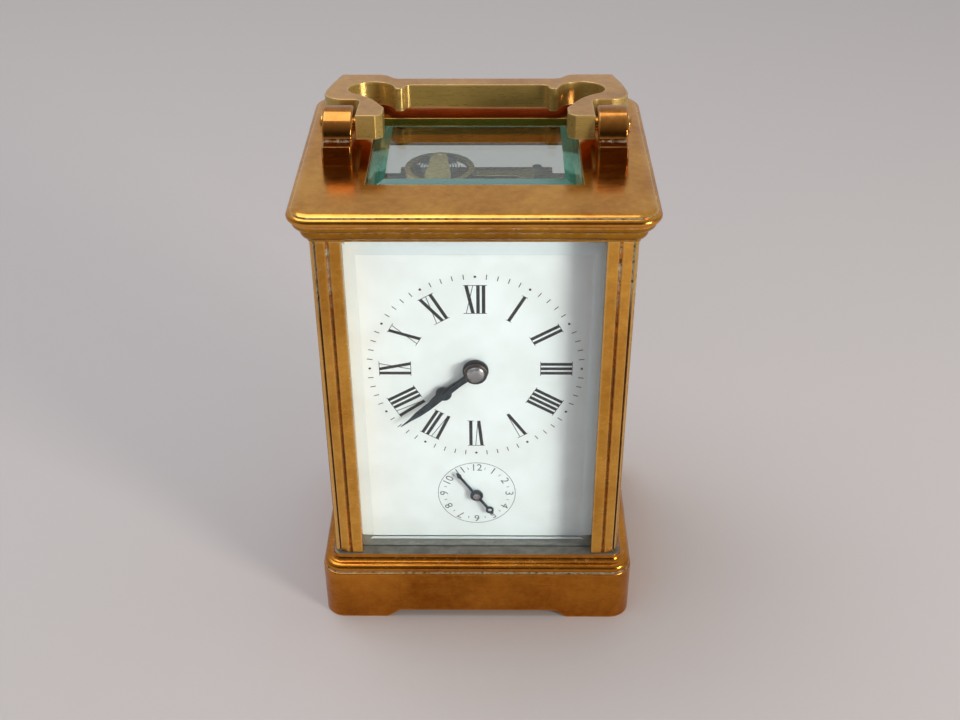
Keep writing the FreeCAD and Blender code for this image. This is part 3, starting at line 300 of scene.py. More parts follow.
@dataclass(frozen=True)
class Brass:
    """Hand-polished brass.

    Uneven polish gives broad patches of deeper orange and a fine mottle. Pale rims on convex edges are partly
    wear and partly a painted highlight; wear also gives long rubbing lines, and the quirks hold dried polish
    with dark specks. Where walls has a colour, upright faces take it, partly as tarnish where the cloth
    misses them and partly as a painted reflection. Where grime has a colour, the quirks hold that below a
    height, and dried polish only above it.
    """

    name: str
    bright: str
    deep: str
    rim: str
    roughness: float
    patch_mm: float = 20.0
    mottle_mm: float = 2.2
    mottle_share: float = 0.35
    tone_span: Span = (0.38, 0.6)
    rim_mm: float = 0.5
    rim_samples: int = 4
    rim_span: Span = (0.7, 0.95)
    rim_most: float = 0.5
    polish: str = "C6C2AC"
    speck: str = "4C4A38"
    speck_mm: float = 0.9
    speck_span: Span = (0.36, 0.48)
    quirk_mm: float = 1.1
    quirk_samples: int = 6
    grain_mm: float = 1.4
    dirt_span: Span = (0.98, 1.22)
    dirt_metal: float = 0.25
    dirt_rough: float = 0.4
    walls: str | None = None
    wall_share: float = 0.7
    wall_metal: float = 0.55
    level_span: Span = (0.5, 0.9)
    grime: str | None = None
    polish_from_mm: float = 95.0
    polish_fade_mm: float = 9.0
    rub_mm: float = 0.5
    rub_stretch: Point = (0.12, 1.0, 1.0)
    rub_span: Span = (0.3, 0.7)
    rub_sheen: Span = (0.7, 1.5)
    rub_strength: float = 0.06
    rub_depth_mm: float = 0.02

    def rubbed(self, tree: Tree) -> Socket:
        """Mask that is one on level faces, which the cloth reaches, and zero on upright ones.

        Args:
            tree: node tree that gets the nodes.

        Returns:
            The mask.
        """
        parts = add(tree, "SeparateXYZ", {0: coordinates(tree, "Normal")})
        return remap(tree, calc(tree, "ABSOLUTE", parts.outputs["Z"]), self.level_span)

    def tone(self, tree: Tree, where: Socket) -> Socket:
        """Colour of the metal with its patches, its mottle and its worn rims.

        Args:
            tree: node tree that gets the nodes.
            where: coordinates of the patterns.

        Returns:
            The colour output.
        """
        patches = noise(tree, where, self.patch_mm, detail=5.0, roughness=0.62)
        mottle = noise(tree, where, self.mottle_mm, detail=6.0, roughness=0.7)
        both = add(tree, "Mix", {MixIn.FACTOR.value: self.mottle_share, MixIn.FIRST_VALUE.value: patches,
                                 MixIn.SECOND_VALUE.value: mottle})
        metal = two_tone(tree, both.outputs[MixOut.VALUE.value], self.tone_span, self.deep, self.bright)
        # Upright faces take the wall colour: partly tarnish, partly a painted reflection of their duller
        # surroundings.
        if self.walls:
            walls_tarnish_and_reflection = mix(tree, self.wall_share, metal, linear(self.walls))
            metal = mix(tree, self.rubbed(tree), walls_tarnish_and_reflection, metal)
        # Pale rims on convex edges: partly wear, partly a painted highlight for the light the edges catch.
        inner = add(tree, "AmbientOcclusion", {"Distance": self.rim_mm * MM}, samples=self.rim_samples,
                    inside=True, only_local=True)
        worn = ramp(tree, inner.outputs["AO"], [(self.rim_span[0], grey(self.rim_most)),
                                                (self.rim_span[1], grey(0.0))])
        return mix(tree, worn, metal, linear(self.rim))

    def dirt(self, tree: Tree, where: Socket) -> tuple[Socket, Socket]:
        """Dried polish and grime in the quirks.

        Args:
            tree: node tree that gets the nodes.
            where: coordinates of the patterns.

        Returns:
            How much of it there is, and its colour.
        """
        hollow = add(tree, "AmbientOcclusion", {"Distance": self.quirk_mm * MM}, samples=self.quirk_samples,
                     only_local=True)
        grain = noise(tree, where, self.grain_mm, detail=4.0)
        uneven = calc(tree, "ADD", hollow.outputs["AO"], grain)
        amount = remap(tree, uneven, self.dirt_span, (1.0, 0.0))
        specks = noise(tree, where, self.speck_mm, detail=3.0)
        colour = two_tone(tree, specks, self.speck_span, self.speck, self.polish)
        if self.grime:
            level = add(tree, "SeparateXYZ", {0: where}).outputs["Z"]
            full = self.polish_from_mm * MM
            high = remap(tree, level, (full - self.polish_fade_mm * MM, full))
            colour = mix(tree, high, linear(self.grime), colour)
        return amount, colour

    def build(self) -> Material:
        """Make the material.

        Returns:
            The material.
        """
        material, tree, shader = new_material(self.name)
        where = coordinates(tree)
        amount, dried = self.dirt(tree, where)
        tree.links.new(mix(tree, amount, self.tone(tree, where), dried), shader.inputs["Base Color"])
        metal = remap(tree, amount, target=(1.0, self.dirt_metal))
        # Upright faces also lose some metal, for the same tarnish and painted duller reflection.
        if self.walls:
            film = remap(tree, self.rubbed(tree), target=(self.wall_metal, 1.0))
            metal = calc(tree, "MINIMUM", metal, film)
        tree.links.new(metal, shader.inputs["Metallic"])
        stretched = add(tree, "Mapping", {"Vector": where, "Scale": self.rub_stretch})
        rubs = noise(tree, stretched.outputs["Vector"], self.rub_mm, detail=3.0, roughness=0.7)
        sheen = remap(tree, rubs, self.rub_span, (self.roughness * self.rub_sheen[0],
                                                  self.roughness * self.rub_sheen[1]))
        dull = calc(tree, "MULTIPLY_ADD", amount, self.dirt_rough, sheen)
        tree.links.new(dull, shader.inputs["Roughness"])
        bump = add(tree, "Bump", {"Height": rubs, "Strength": self.rub_strength,
                                  "Distance": self.rub_depth_mm * MM})
        tree.links.new(bump.outputs["Normal"], shader.inputs["Normal"])
        return material


@dataclass(frozen=True)
class DullMetal:
    """Unpolished inside of the case, dark grey as a painted shade for its shadowed floor, in two clouded
    tones.
    """

    name: str
    film: str
    dust: str
    cloud_mm: float = 3.0
    tone_span: Span = (0.35, 0.65)
    metal: float = 0.3
    roughness: float = 0.55

    def build(self) -> Material:
        """Make the material.

        Returns:
            The material.
        """
        material, tree, shader = new_material(self.name)
        cloud = noise(tree, coordinates(tree), self.cloud_mm, detail=6.0, roughness=0.7)
        tone = two_tone(tree, cloud, self.tone_span, self.film, self.dust)
        tree.links.new(tone, shader.inputs["Base Color"])
        shader.inputs["Metallic"].default_value = self.metal
        shader.inputs["Roughness"].default_value = self.roughness
        return material


@dataclass(frozen=True)
class Steel:
    """Ground steel, bright or heated to a dark blue, with faint rubbing."""

    name: str
    light: str
    dark: str
    roughness: float
    cloud_mm: float = 2.5
    tone_span: Span = (0.3, 0.7)
    sheen: Span = (0.7, 1.4)

    def build(self) -> Material:
        """Make the material.

        Returns:
            The material.
        """
        material, tree, shader = new_material(self.name)
        cloud = noise(tree, coordinates(tree), self.cloud_mm, detail=4.0)
        tone = two_tone(tree, cloud, self.tone_span, self.dark, self.light)
        tree.links.new(tone, shader.inputs["Base Color"])
        shader.inputs["Metallic"].default_value = 1.0
        rough = remap(tree, cloud, target=(self.roughness * self.sheen[0], self.roughness * self.sheen[1]))
        tree.links.new(rough, shader.inputs["Roughness"])
        return material


@dataclass(frozen=True)
class Enamel:
    """Fired white enamel: glossy, faintly clouded and faintly rippled."""

    name: str
    white: str
    cloud: str
    patch_mm: float = 9.0
    tone_span: Span = (0.38, 0.6)
    roughness: float = 0.16
    refraction: float = 1.5
    ripple_mm: float = 3.0
    ripple_strength: float = 0.04
    ripple_depth_mm: float = 0.03

    def build(self) -> Material:
        """Make the material.

        Returns:
            The material.
        """
        material, tree, shader = new_material(self.name)
        where = coordinates(tree)
        cloud = noise(tree, where, self.patch_mm, detail=6.0, roughness=0.55)
        tone = two_tone(tree, cloud, self.tone_span, self.cloud, self.white)
        tree.links.new(tone, shader.inputs["Base Color"])
        shader.inputs["Roughness"].default_value = self.roughness
        shader.inputs["IOR"].default_value = self.refraction
        ripple = noise(tree, where, self.ripple_mm, detail=2.0)
        bump = add(tree, "Bump", {"Height": ripple, "Strength": self.ripple_strength,
                                  "Distance": self.ripple_depth_mm * MM})
        tree.links.new(bump.outputs["Normal"], shader.inputs["Normal"])
        return material


@dataclass(frozen=True)
class PrintedInk:
    """Dark fired paint of the numerals, a little worn."""

    name: str
    dark: str
    worn: str
    wear_mm: float = 0.8
    wear_span: Span = (0.45, 0.75)
    roughness: float = 0.35
    gloss: float = 0.2

    def build(self) -> Material:
        """Make the material.

        Returns:
            The material.
        """
        material, tree, shader = new_material(self.name)
        wear = noise(tree, coordinates(tree), self.wear_mm, detail=5.0)
        tone = two_tone(tree, wear, self.wear_span, self.dark, self.worn)
        tree.links.new(tone, shader.inputs["Base Color"])
        shader.inputs["Roughness"].default_value = self.roughness
        shader.inputs["Specular IOR Level"].default_value = self.gloss
        return material


@dataclass(frozen=True)
class PlateGlass:
    """Old plate glass: clear through its face, green along its thickness, with faintly clouded bevels."""

    name: str
    tint: str
    density: float
    bevel: str
    bevel_cloud: float
    bevel_haze: float = 0.06
    flat_from: float = 0.995
    refraction: float = 1.5
    shadow: str = "F7FAF9"

    def bevels(self, tree: Tree) -> Socket:
        """Mask that is one on faces that lean out of the pane's square.

        Args:
            tree: node tree that gets the nodes.

        Returns:
            The mask.
        """
        sizes = add(tree, "VectorMath", {0: coordinates(tree, "Normal")}, operation="ABSOLUTE")
        parts = add(tree, "SeparateXYZ", {0: sizes.outputs["Vector"]})
        across = calc(tree, "MAXIMUM", parts.outputs["X"], parts.outputs["Y"])
        most = calc(tree, "MAXIMUM", across, parts.outputs["Z"])
        return calc(tree, "LESS_THAN", most, self.flat_from)

    def build(self) -> Material:
        """Make the material, with light let straight through where shadows are traced.

        Returns:
            The material.
        """
        material, tree, shader = new_material(self.name)
        mask = self.bevels(tree)
        tree.links.new(mix(tree, mask, grey(1.0), linear(self.bevel)), shader.inputs["Base Color"])
        tree.links.new(calc(tree, "MULTIPLY", mask, self.bevel_haze), shader.inputs["Roughness"])
        shader.inputs["IOR"].default_value = self.refraction
        clear = calc(tree, "MULTIPLY_ADD", mask, -self.bevel_cloud, 1.0)
        tree.links.new(clear, shader.inputs["Transmission Weight"])
        output = tree.nodes["Material Output"]
        ray = add(tree, "LightPath")
        through = add(tree, "BsdfTransparent", {"Color": linear(self.shadow)})
        both = add(tree, "MixShader", {0: ray.outputs["Is Shadow Ray"], 1: shader.outputs["BSDF"],
                                       2: through.outputs["BSDF"]})
        tree.links.new(both.outputs["Shader"], output.inputs["Surface"])
        depth = add(tree, "VolumeAbsorption", {"Color": linear(self.tint), "Density": self.density})
        tree.links.new(depth.outputs["Volume"], output.inputs["Volume"])
        return material


Finish = Brass | DullMetal | Steel | Enamel | PrintedInk | PlateGlass

FINISHES: dict[Slot, Finish] = {
    Slot.CASE: Brass("polished_brass", "DC993F", "BA7427", "F0C27A", 0.17),
    Slot.MOVEMENT: Brass("gilt_movement_brass", "DDB56A", "C4964C", "E8CB90", 0.24, patch_mm=14.0),
    Slot.BELL: Brass("bell_bronze", "C9B07A", "A98C56", "D8C596", 0.3, patch_mm=12.0),
    Slot.STEEL: Steel("ground_steel", "C8C8CA", "8E8E92", 0.24),
    Slot.BLUED: Steel("blued_steel", "36525F", "161F28", 0.28),
    Slot.ENAMEL: Enamel("fired_enamel", "EAF3F6", "E4ECEE"),
    Slot.GLASS: PlateGlass("plate_glass", "5FA892", 10.0, "E6EFF4", 0.06),
}
BASE_BRASS = Brass("browned_base_brass", "C8802C", "9E5A17", "E2A553", 0.2)
POST_BRASS = Brass("drawn_post_brass", "E6AA4C", "BE812E", "F2D091", 0.2, quirk_mm=2.0, grime="664522")
# Darker olive brass for the cornice's lower moulding: a painted shade.
SHADED_MOULDING_BRASS = Brass("moulding_brass_painted_shade", "B37F26", "975F18", "CFA552", 0.2)
# Darker brass for the lugs: a painted shade standing in for their dark reflections.
SHADED_LUG_BRASS = Brass("lug_brass_painted_shade", "BC7A38", "8C5523", "E6B870", 0.14)
# Its olive upright walls are partly tarnish and partly a painted reflection.
HANDLE_BRASS = Brass("worn_handle_brass", "DCA052", "BC7F38", "F0CE90", 0.3, walls="AE9C58")
# Dark grey for the floor inside the case: a painted shade on an unpolished surface.
SHADED_FLOOR_INSIDE = DullMetal("dull_floor_painted_shade", "66635A", "8A867C")
TOP_GLASS = PlateGlass("thick_plate_glass", "4FA890", 90.0, "5DB096", 0.3)
INK = PrintedInk("fired_black", "0D1215", "2A3237")
FINE_INK = PrintedInk("thin_fired_black", "50585D", "8B9397")
COLLET_STEEL = Steel("smoked_steel", "4B423C", "211B18", 0.32)


def bevel(shape: Shape, edges: list[bmesh.types.BMEdge], width_mm: float,
          segments: int) -> set[bmesh.types.BMFace]:
    """Round some edges.

    Args:
        shape: shape that holds them.
        edges: edges to round.
        width_mm: width of the rounding on each side of an edge.
        segments: steps of the rounding.

    Returns:
        The faces of the roundings.
    """
    made = bmesh.ops.bevel(shape, geom=edges, offset=width_mm * MM, offset_type="OFFSET", segments=segments,
                           profile=0.5, affect="EDGES", clamp_overlap=True, material=-1)
    return set(made["faces"])


def outer_uprights(shape: Shape, slack_mm: float = 0.01, least_mm: float = 1.0) -> list[bmesh.types.BMEdge]:
    """Upright edges at the corner that is furthest from the clock's axis.

    Args:
        shape: shape to look through.
        slack_mm: how far short of that corner an edge may lie.
        least_mm: least rise of an upright edge.

    Returns:
        The edges.
    """
    reach = max(abs(corner.co.x) + abs(corner.co.y) for corner in shape.verts) - slack_mm * MM
    return [edge for edge in shape.edges
            if all(abs(corner.co.x) + abs(corner.co.y) > reach for corner in edge.verts)
            and abs(edge.verts[0].co.z - edge.verts[1].co.z) > least_mm * MM]


def sink(shape: Shape, edges: list[bmesh.types.BMEdge], width_mm: float) -> set[bmesh.types.BMFace]:
    """Cut a small V along some edges, as deep as it is wide.

    Args:
        shape: shape that holds them.
        edges: edges to cut along.
        width_mm: width of the cut on each side of an edge.

    Returns:
        The faces of the cuts.
    """
    depth = 2 * width_mm * MM
    walls = bevel(shape, edges, width_mm, segments=2)
    valleys = [edge for edge in shape.edges if all(face in walls for face in edge.link_faces)]
    for valley in valleys:
        inward = -sum((face.normal for face in valley.link_faces), Vector()).normalized()
        for corner in valley.verts:
            corner.co += inward * depth
    return walls


@dataclass
class Workshop:
    """Holds the frame and the finishes, and hands out finished pieces."""

    frame: dict
    materials: dict[str, Material] = field(default_factory=dict)
    merge_mm: float = 0.002
    flat_deg: float = 0.5
    sharp_deg: float = 26.0
    smooth_deg: float = 35.0

    def finish(self, finish: Finish) -> Material:
        """Material of a finish, made once.

        Args:
            finish: the finish.

        Returns:
            Its material.
        """
        if finish.name not in self.materials:
            self.materials[finish.name] = finish.build()
        return self.materials[finish.name]

    def body_of(self, node: str) -> str:
        """Body that carries a CAD node.

        Args:
            node: the node.

        Returns:
            The body's name.
        """
        return self.frame["nodes"][node]["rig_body"]

    def slot_of(self, node: str) -> Slot:
        """Material slot of a CAD node.

        Args:
            node: the node.

        Returns:
            Its slot.
        """
        rows = self.frame["record"]["subparts"]
        return Slot(next(row["material_slot"] for row in rows if row["node"] == node))

    def paint(self, node: str, finish: Finish | None = None) -> None:
        """Give a CAD node that stays a finish.

        Args:
            node: node to paint.
            finish: its finish, or none for the finish of its slot.
        """
        shown = self.frame["nodes"][node]
        shown.data.materials.clear()
        shown.data.materials.append(self.finish(finish or FINISHES[self.slot_of(node)]))

    def place(self, shape: Shape, name: str, body: str, finish: Finish, slot: Slot) -> Piece:
        """Turn a bmesh into a piece that rides on a body.

        Args:
            shape: finished shape in metres, in the frame's place.
            name: name of the piece.
            body: body that carries it.
            finish: finish of its surface.
            slot: record slot that the finish belongs to; not used.

        Returns:
            The piece.
        """
        mesh = bpy.data.meshes.new(name)
        shape.to_mesh(mesh)
        shape.free()
        mesh.shade_smooth()
        mesh.set_sharp_from_angle(angle=math.radians(self.smooth_deg))
        mesh.materials.clear()
        mesh.materials.append(self.finish(finish))
        piece = bpy.data.objects.new(name, mesh)
        bpy.context.scene.collection.objects.link(piece)
        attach(piece, body)
        LOG.info("%s: %d faces", name, len(mesh.polygons))
        return piece

    def dress(self, node: str, edge_mm: float, segments: int = 2, finish: Finish | None = None,
              quirk_mm: float = 0.0) -> Piece:
        """Stand a soft-edged copy of a CAD node in its place.

        Args:
            node: node to copy.
            edge_mm: width of the rounding on its sharp edges.
            segments: steps of the rounding.
            finish: its finish, or none for the finish of its slot.
            quirk_mm: half width of the cuts beside its outer upright corner, or zero.

        Returns:
            The piece that replaces the node.
        """
        shape = bmesh.new()
        shape.from_mesh(self.frame["nodes"][node].data)
        bmesh.ops.remove_doubles(shape, verts=shape.verts, dist=self.merge_mm * MM)
        bmesh.ops.dissolve_limit(shape, angle_limit=math.radians(self.flat_deg), verts=shape.verts,
                                 edges=shape.edges, use_dissolve_boundaries=False, delimit=set())
        cuts = sink(shape, outer_uprights(shape), quirk_mm) if quirk_mm else set()
        sharp = [edge for edge in shape.edges
                 if edge.is_manifold and edge.calc_face_angle(0.0) > math.radians(self.sharp_deg)
                 and not cuts.intersection(edge.link_faces)]
        bevel(shape, sharp, edge_mm, segments)
        slot = self.slot_of(node)
        piece = self.place(shape, node + "_dressed", self.body_of(node), finish or FINISHES[slot], slot)
        weighted = piece.modifiers.new("weighted", "WEIGHTED_NORMAL")
        weighted.keep_sharp = True
        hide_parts(node)
        return piece


@dataclass
class Case:
    """Base, posts, cornice and rear door."""

    shop: Workshop
    base_edge: float = 0.18
    floor_slack: float = 0.1
    floor_level: float = 0.99
    post_edge: float = 0.16
    post_quirk: float = 0.34
    cornice_edge: float = 0.1
    moulding_h: float = 4.6
    frame_edge: float = 0.2
    knob_edge: float = 0.25
    posts: tuple[str, ...] = ("front_left", "front_right", "rear_left", "rear_right")
    plain: tuple[str, ...] = ("base_cover", "base_cover_screws", "post_screws", "rear_door_pins")

    def base(self) -> None:
        """Dress the base and paint the floor inside the case a dull dark grey, a painted shade."""
        piece = self.shop.dress("base_plinth", self.base_edge, finish=BASE_BRASS)
        # The floor inside the case gets dark grey: a painted shade for the floor in the case's shadow.
        piece.data.materials.append(self.shop.finish(SHADED_FLOOR_INSIDE))
        plate_low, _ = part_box("movement_front_plate")
        for face in piece.data.polygons:
            level = face.normal.z > self.floor_level
            if level and abs(face.center.z - plate_low.z) < self.floor_slack * MM:
                face.material_index = 1

    def cornice(self) -> None:
        """Dress the cornice and paint its lower moulding darker olive brass, a painted shade."""
        piece = self.shop.dress("cornice", self.cornice_edge)
        piece.data.materials.append(self.shop.finish(SHADED_MOULDING_BRASS))
        low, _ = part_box("cornice")
        # Faces of the lower moulding get the darker brass, a painted shade.
        for face in piece.data.polygons:
            if face.center.z < low.z + self.moulding_h * MM:
                face.material_index = 1

    def build(self) -> None:
        """Dress the case."""
        self.base()
        self.cornice()
        for post in self.posts:
            self.shop.dress("corner_post_" + post, self.post_edge, finish=POST_BRASS,
                            quirk_mm=self.post_quirk)
        self.shop.dress("rear_door_frame", self.frame_edge)
        self.shop.dress("rear_door_knob", self.knob_edge)
        for node in self.plain:
            self.shop.paint(node)


@dataclass
class Glazing:
    """Panes of the case."""

    shop: Workshop
    nodes: tuple[str, ...] = ("front_glass", "left_glass", "right_glass", "rear_door_glass")

    def build(self) -> None:
        """Give every pane its glass."""
        for node in self.nodes:
            self.shop.paint(node)
        self.shop.paint("top_glass", TOP_GLASS)


@dataclass
class Handle:
    """Folding handle with its lugs and pivots."""

    shop: Workshop
    handle_edge: float = 0.3
    lug_edge: float = 0.45
    screw_edge: float = 0.15

    def build(self) -> None:
        """Dress the handle."""
        self.shop.dress("handle", self.handle_edge, finish=HANDLE_BRASS)
        for side in ("left", "right"):
            self.shop.dress("handle_lug_" + side, self.lug_edge, finish=SHADED_LUG_BRASS)
        self.shop.dress("handle_pivot_screws", self.screw_edge)


HOURS = 12
MINUTES = 60
HOUR_DEG = 360 / HOURS
MINUTE_DEG = 360 / MINUTES
STAND_UP = Matrix.Rotation(math.radians(90), 4, "X")


class Stroke(Enum):
    """Widths of the numerals' strokes, in millimetres."""

    THICK = 0.78
    THIN = 0.16
    SERIF = 0.14


@dataclass
class DialPrint:
    """Printing on the dial: minute track, Roman hours and the alarm ring. Sizes are in millimetres."""

    shop: Workshop
    hour_dot_r: float = 24.5
    dot_r: float = 0.3
    dot_sides: int = 12
    tick_in: float = 23.9
    tick_out: float = 25.15
    tick_w: float = 0.2
    numeral_in: float = 15.0
    numeral_out: float = 22.3
    bar_step: float = 1.24
    lean_w: float = 2.3
    lean_gap: float = 0.25
    foot_shift: float = 0.2
    serif_out: float = 0.12
    alarm_r: float = 9.5
    alarm_line: float = 0.14
    alarm_sides: int = 96
    alarm_tick_half: float = 0.35
    alarm_tick_w: float = 0.16
    alarm_figure: float = 2.3
    alarm_figure_r: float = 7.95
    figure_steps: int = 3
    font_size_share: float = 1.25
    paint_t: float = 0.02
    hours: tuple[str, ...] = ("XII", "I", "II", "III", "IIII", "V", "VI", "VII", "VIII", "IX", "X", "XI")
    face: float = field(init=False)
    centre: float = field(init=False)
    alarm: float = field(init=False)

    def __post_init__(self) -> None:
        """Read the dial's plane and centres, in metres, from the frame."""
        dial_low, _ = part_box("dial")
        self.face = dial_low.y
        arbor_low, arbor_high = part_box("centre_arbor")
        self.centre = (arbor_low.z + arbor_high.z) / 2
        alarm_low, alarm_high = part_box("alarm_arbor")
        self.alarm = (alarm_low.z + alarm_high.z) / 2

    def spot(self, level: float, turn: float) -> Matrix:
        """Frame on the dial's face: X to the right of the turned direction, Z outwards.

        Args:
            level: height of the centre.
            turn: degrees clockwise from twelve.

        Returns:
            The matrix of that frame.
        """
        lift = Matrix.Translation((0.0, self.face - self.paint_t * MM / 2, level))
        return lift @ Matrix.Rotation(math.radians(turn), 4, "Y")

    def bar(self, shape: Shape, frame: Matrix, start: Span, end: Span, width: float) -> None:
        """Straight stroke between two points of a frame.

        Args:
            shape: bmesh that gets it.
            frame: frame on the dial.
            start: across and out, in millimetres.
            end: across and out, in millimetres.
            width: width of the stroke.
        """
        run = Vector((end[0] - start[0], 0.0, end[1] - start[1]))
        middle = Vector(((start[0] + end[0]) / 2, 0.0, (start[1] + end[1]) / 2))
        turn = Matrix.Rotation(math.atan2(run.x, run.z), 4, "Y")
        size = Matrix.Diagonal((width * MM, self.paint_t * MM, run.length * MM, 1.0))
        bmesh.ops.create_cube(shape, size=1.0, matrix=frame @ Matrix.Translation(middle * MM) @ turn @ size)

    def letter(self, shape: Shape, frame: Matrix, letter: str, middle: float, width: float) -> None:
        """One letter of a numeral, with its serifs.

        Args:
            shape: bmesh that gets it.
            frame: frame of the numeral.
            letter: I, V or X.
            middle: place of its middle across the numeral.
            width: width that it takes.
        """
        low, high = self.numeral_in, self.numeral_out
        thick, thin, serif = (stroke.value for stroke in Stroke)
        lean = self.lean_w / 2 - thick / 2
        if letter == "I":
            self.bar(shape, frame, (middle, low), (middle, high), thick)
        elif letter == "V":
            self.bar(shape, frame, (middle - lean, high), (middle, low), thick)
            self.bar(shape, frame, (middle + lean, high), (middle + self.foot_shift, low), thin)
        else:
            self.bar(shape, frame, (middle - lean, high), (middle + lean, low), thick)
            self.bar(shape, frame, (middle + lean, high), (middle - lean, low), thin)
        reach = width / 2 + self.serif_out
        self.bar(shape, frame, (middle - reach, high), (middle + reach, high), serif)
        if letter != "V":
            self.bar(shape, frame, (middle - reach, low), (middle + reach, low), serif)

    def numeral(self, shape: Shape, hour: int, letters: str) -> None:
        """One Roman numeral standing outwards.

        Args:
            shape: bmesh that gets it.
            hour: its place on the dial.
            letters: its letters.
        """
        frame = self.spot(self.centre, HOUR_DEG * hour)
        widths = [self.bar_step if letter == "I" else self.lean_w + self.lean_gap for letter in letters]
        place = -sum(widths) / 2
        for letter, width in zip(letters, widths):
            self.letter(shape, frame, letter, place + width / 2, width)
            place += width

    def track(self, shape: Shape) -> None:
        """Minute ticks with a dot at each hour.

        Args:
            shape: bmesh that gets them.
        """
        out = Matrix.Translation((0, 0, self.hour_dot_r * MM))
        for minute in range(MINUTES):
            frame = self.spot(self.centre, MINUTE_DEG * minute)
            if minute % (MINUTES // HOURS):
                self.bar(shape, frame, (0, self.tick_in), (0, self.tick_out), self.tick_w)
            else:
                bmesh.ops.create_cone(shape, cap_ends=True, segments=self.dot_sides, radius1=self.dot_r * MM,
                                      radius2=self.dot_r * MM, depth=self.paint_t * MM,
                                      matrix=frame @ out @ STAND_UP)

    def ring(self, shape: Shape) -> None:
        """Fine circle round the alarm figures, with a tick between each pair.

        Args:
            shape: bmesh that gets it.
        """
        frame = self.spot(self.alarm, 0.0)
        near, far = self.alarm_r - self.alarm_line / 2, self.alarm_r + self.alarm_line / 2
        corners = [(near, -0.5), (far, -0.5), (far, 0.5), (near, 0.5)]
        ends = [shape.verts.new(frame @ Vector((x * MM, y * self.paint_t * MM, 0.0))) for x, y in corners]
        loop = [shape.edges.new((ends[number], ends[(number + 1) % 4])) for number in range(4)]
        bmesh.ops.spin(shape, geom=ends + loop, cent=frame.translation, axis=(0.0, 1.0, 0.0), angle=math.tau,
                       steps=self.alarm_sides, use_merge=True)
        low, high = self.alarm_figure_r - self.alarm_tick_half, self.alarm_figure_r + self.alarm_tick_half
        for number in range(HOURS):
            turned = self.spot(self.alarm, HOUR_DEG * (number + 0.5))
            self.bar(shape, turned, (0, low), (0, high), self.alarm_tick_w)

    def figure(self, shape: Shape, hour: int) -> None:
        """One small Arabic figure of the alarm ring.

        Args:
            shape: bmesh that gets it.
            hour: figure from 1 to 12.
        """
        curve = bpy.data.curves.new("figure", "FONT")
        curve.body = str(hour)
        curve.size = self.alarm_figure * MM * self.font_size_share
        curve.align_x = "CENTER"
        curve.align_y = "CENTER"
        curve.extrude = self.paint_t * MM / 2
        curve.resolution_u = self.figure_steps
        text = bpy.data.objects.new("figure", curve)
        mesh = bpy.data.meshes.new_from_object(text)
        up = Matrix.Translation((0.0, 0.0, self.alarm_figure_r * MM))
        mesh.transform(self.spot(self.alarm, HOUR_DEG * hour) @ up @ STAND_UP)
        shape.from_mesh(mesh)
        bpy.data.objects.remove(text)
        bpy.data.curves.remove(curve)
        bpy.data.meshes.remove(mesh)

    def build(self) -> None:
        """Print the dial."""
        hours = bmesh.new()
        for hour, letters in enumerate(self.hours):
            self.numeral(hours, hour, letters)
        self.track(hours)
        self.shop.place(hours, "dial_hours", "case", INK, Slot.ENAMEL)
        alarm = bmesh.new()
        self.ring(alarm)
        for hour in range(1, HOURS + 1):
            self.figure(alarm, hour)
        bmesh.ops.recalc_face_normals(alarm, faces=alarm.faces)
        self.shop.place(alarm, "dial_alarm_ring", "case", FINE_INK, Slot.ENAMEL)
        self.shop.paint("dial")
        self.shop.paint("dial_feet")


@dataclass
class Hands:
    """Hour, minute and alarm hands with the domed collet. Sizes are in millimetres."""

    shop: Workshop
    edge_mm: float = 0.07
    ring_r: float = 2.7
    ring_sides: int = 40
    rim_w: float = 0.15
    rim_h: float = 0.12
    seat_w: float = 0.12
    seat_foot: float = 0.05
    seat_h: float = 0.1
    dome_r: float = 2.05
    dome_h: float = 0.6
    dome_sunk: float = 0.15
    dome_rings: int = 20

    def collet_ring(self, low: Vector, high: Vector, centre: float) -> None:
        """Turned ring of the collet.

        Args:
            low: low corner of the CAD collet's box.
            high: high corner of that box.
            centre: height of its axis.
        """
        shape = bmesh.new()
        profile = [(self.ring_r, high.y),
                   (self.ring_r, low.y + self.rim_h * MM),
                   (self.ring_r - self.rim_w, low.y),
                   (self.dome_r + self.seat_w, low.y),
                   (self.dome_r + self.seat_foot, low.y + self.seat_h * MM)]
        ends = [shape.verts.new((radius * MM, level, centre)) for radius, level in profile]
        runs = [shape.edges.new(pair) for pair in zip(ends, ends[1:])]
        bmesh.ops.spin(shape, geom=ends + runs, cent=(0.0, 0.0, centre), axis=(0.0, 1.0, 0.0), angle=math.tau,
                       steps=self.ring_sides, use_merge=True)
        bmesh.ops.recalc_face_normals(shape, faces=shape.faces)
        ring = self.shop.place(shape, "hand_collet_ring", "minute_set", COLLET_STEEL, Slot.STEEL)
        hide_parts("hand_collet")

    def collet_dome(self, front: float, centre: float) -> None:
        """Polished dome inside the ring.

        Args:
            front: front plane of the collet.
            centre: height of its axis.
        """
        dome = bmesh.new()
        bmesh.ops.create_uvsphere(dome, u_segments=self.ring_sides, v_segments=self.dome_rings, radius=1.0)
        flat = Matrix.Diagonal((self.dome_r * MM, self.dome_h * MM, self.dome_r * MM, 1.0))
        spot = Matrix.Translation((0.0, front + self.dome_sunk * MM, centre))
        bmesh.ops.transform(dome, matrix=spot @ flat, verts=dome.verts)
        self.shop.place(dome, "hand_collet_dome", "minute_set", FINISHES[Slot.STEEL], Slot.STEEL)

    def build(self) -> None:
        """Dress the hands."""
        for node in ("hour_hand", "minute_hand", "alarm_hand"):
            self.shop.dress(node, self.edge_mm, segments=1)
        low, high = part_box("hand_collet")
        centre = (low.z + high.z) / 2
        self.collet_ring(low, high, centre)
        self.collet_dome(low.y, centre)


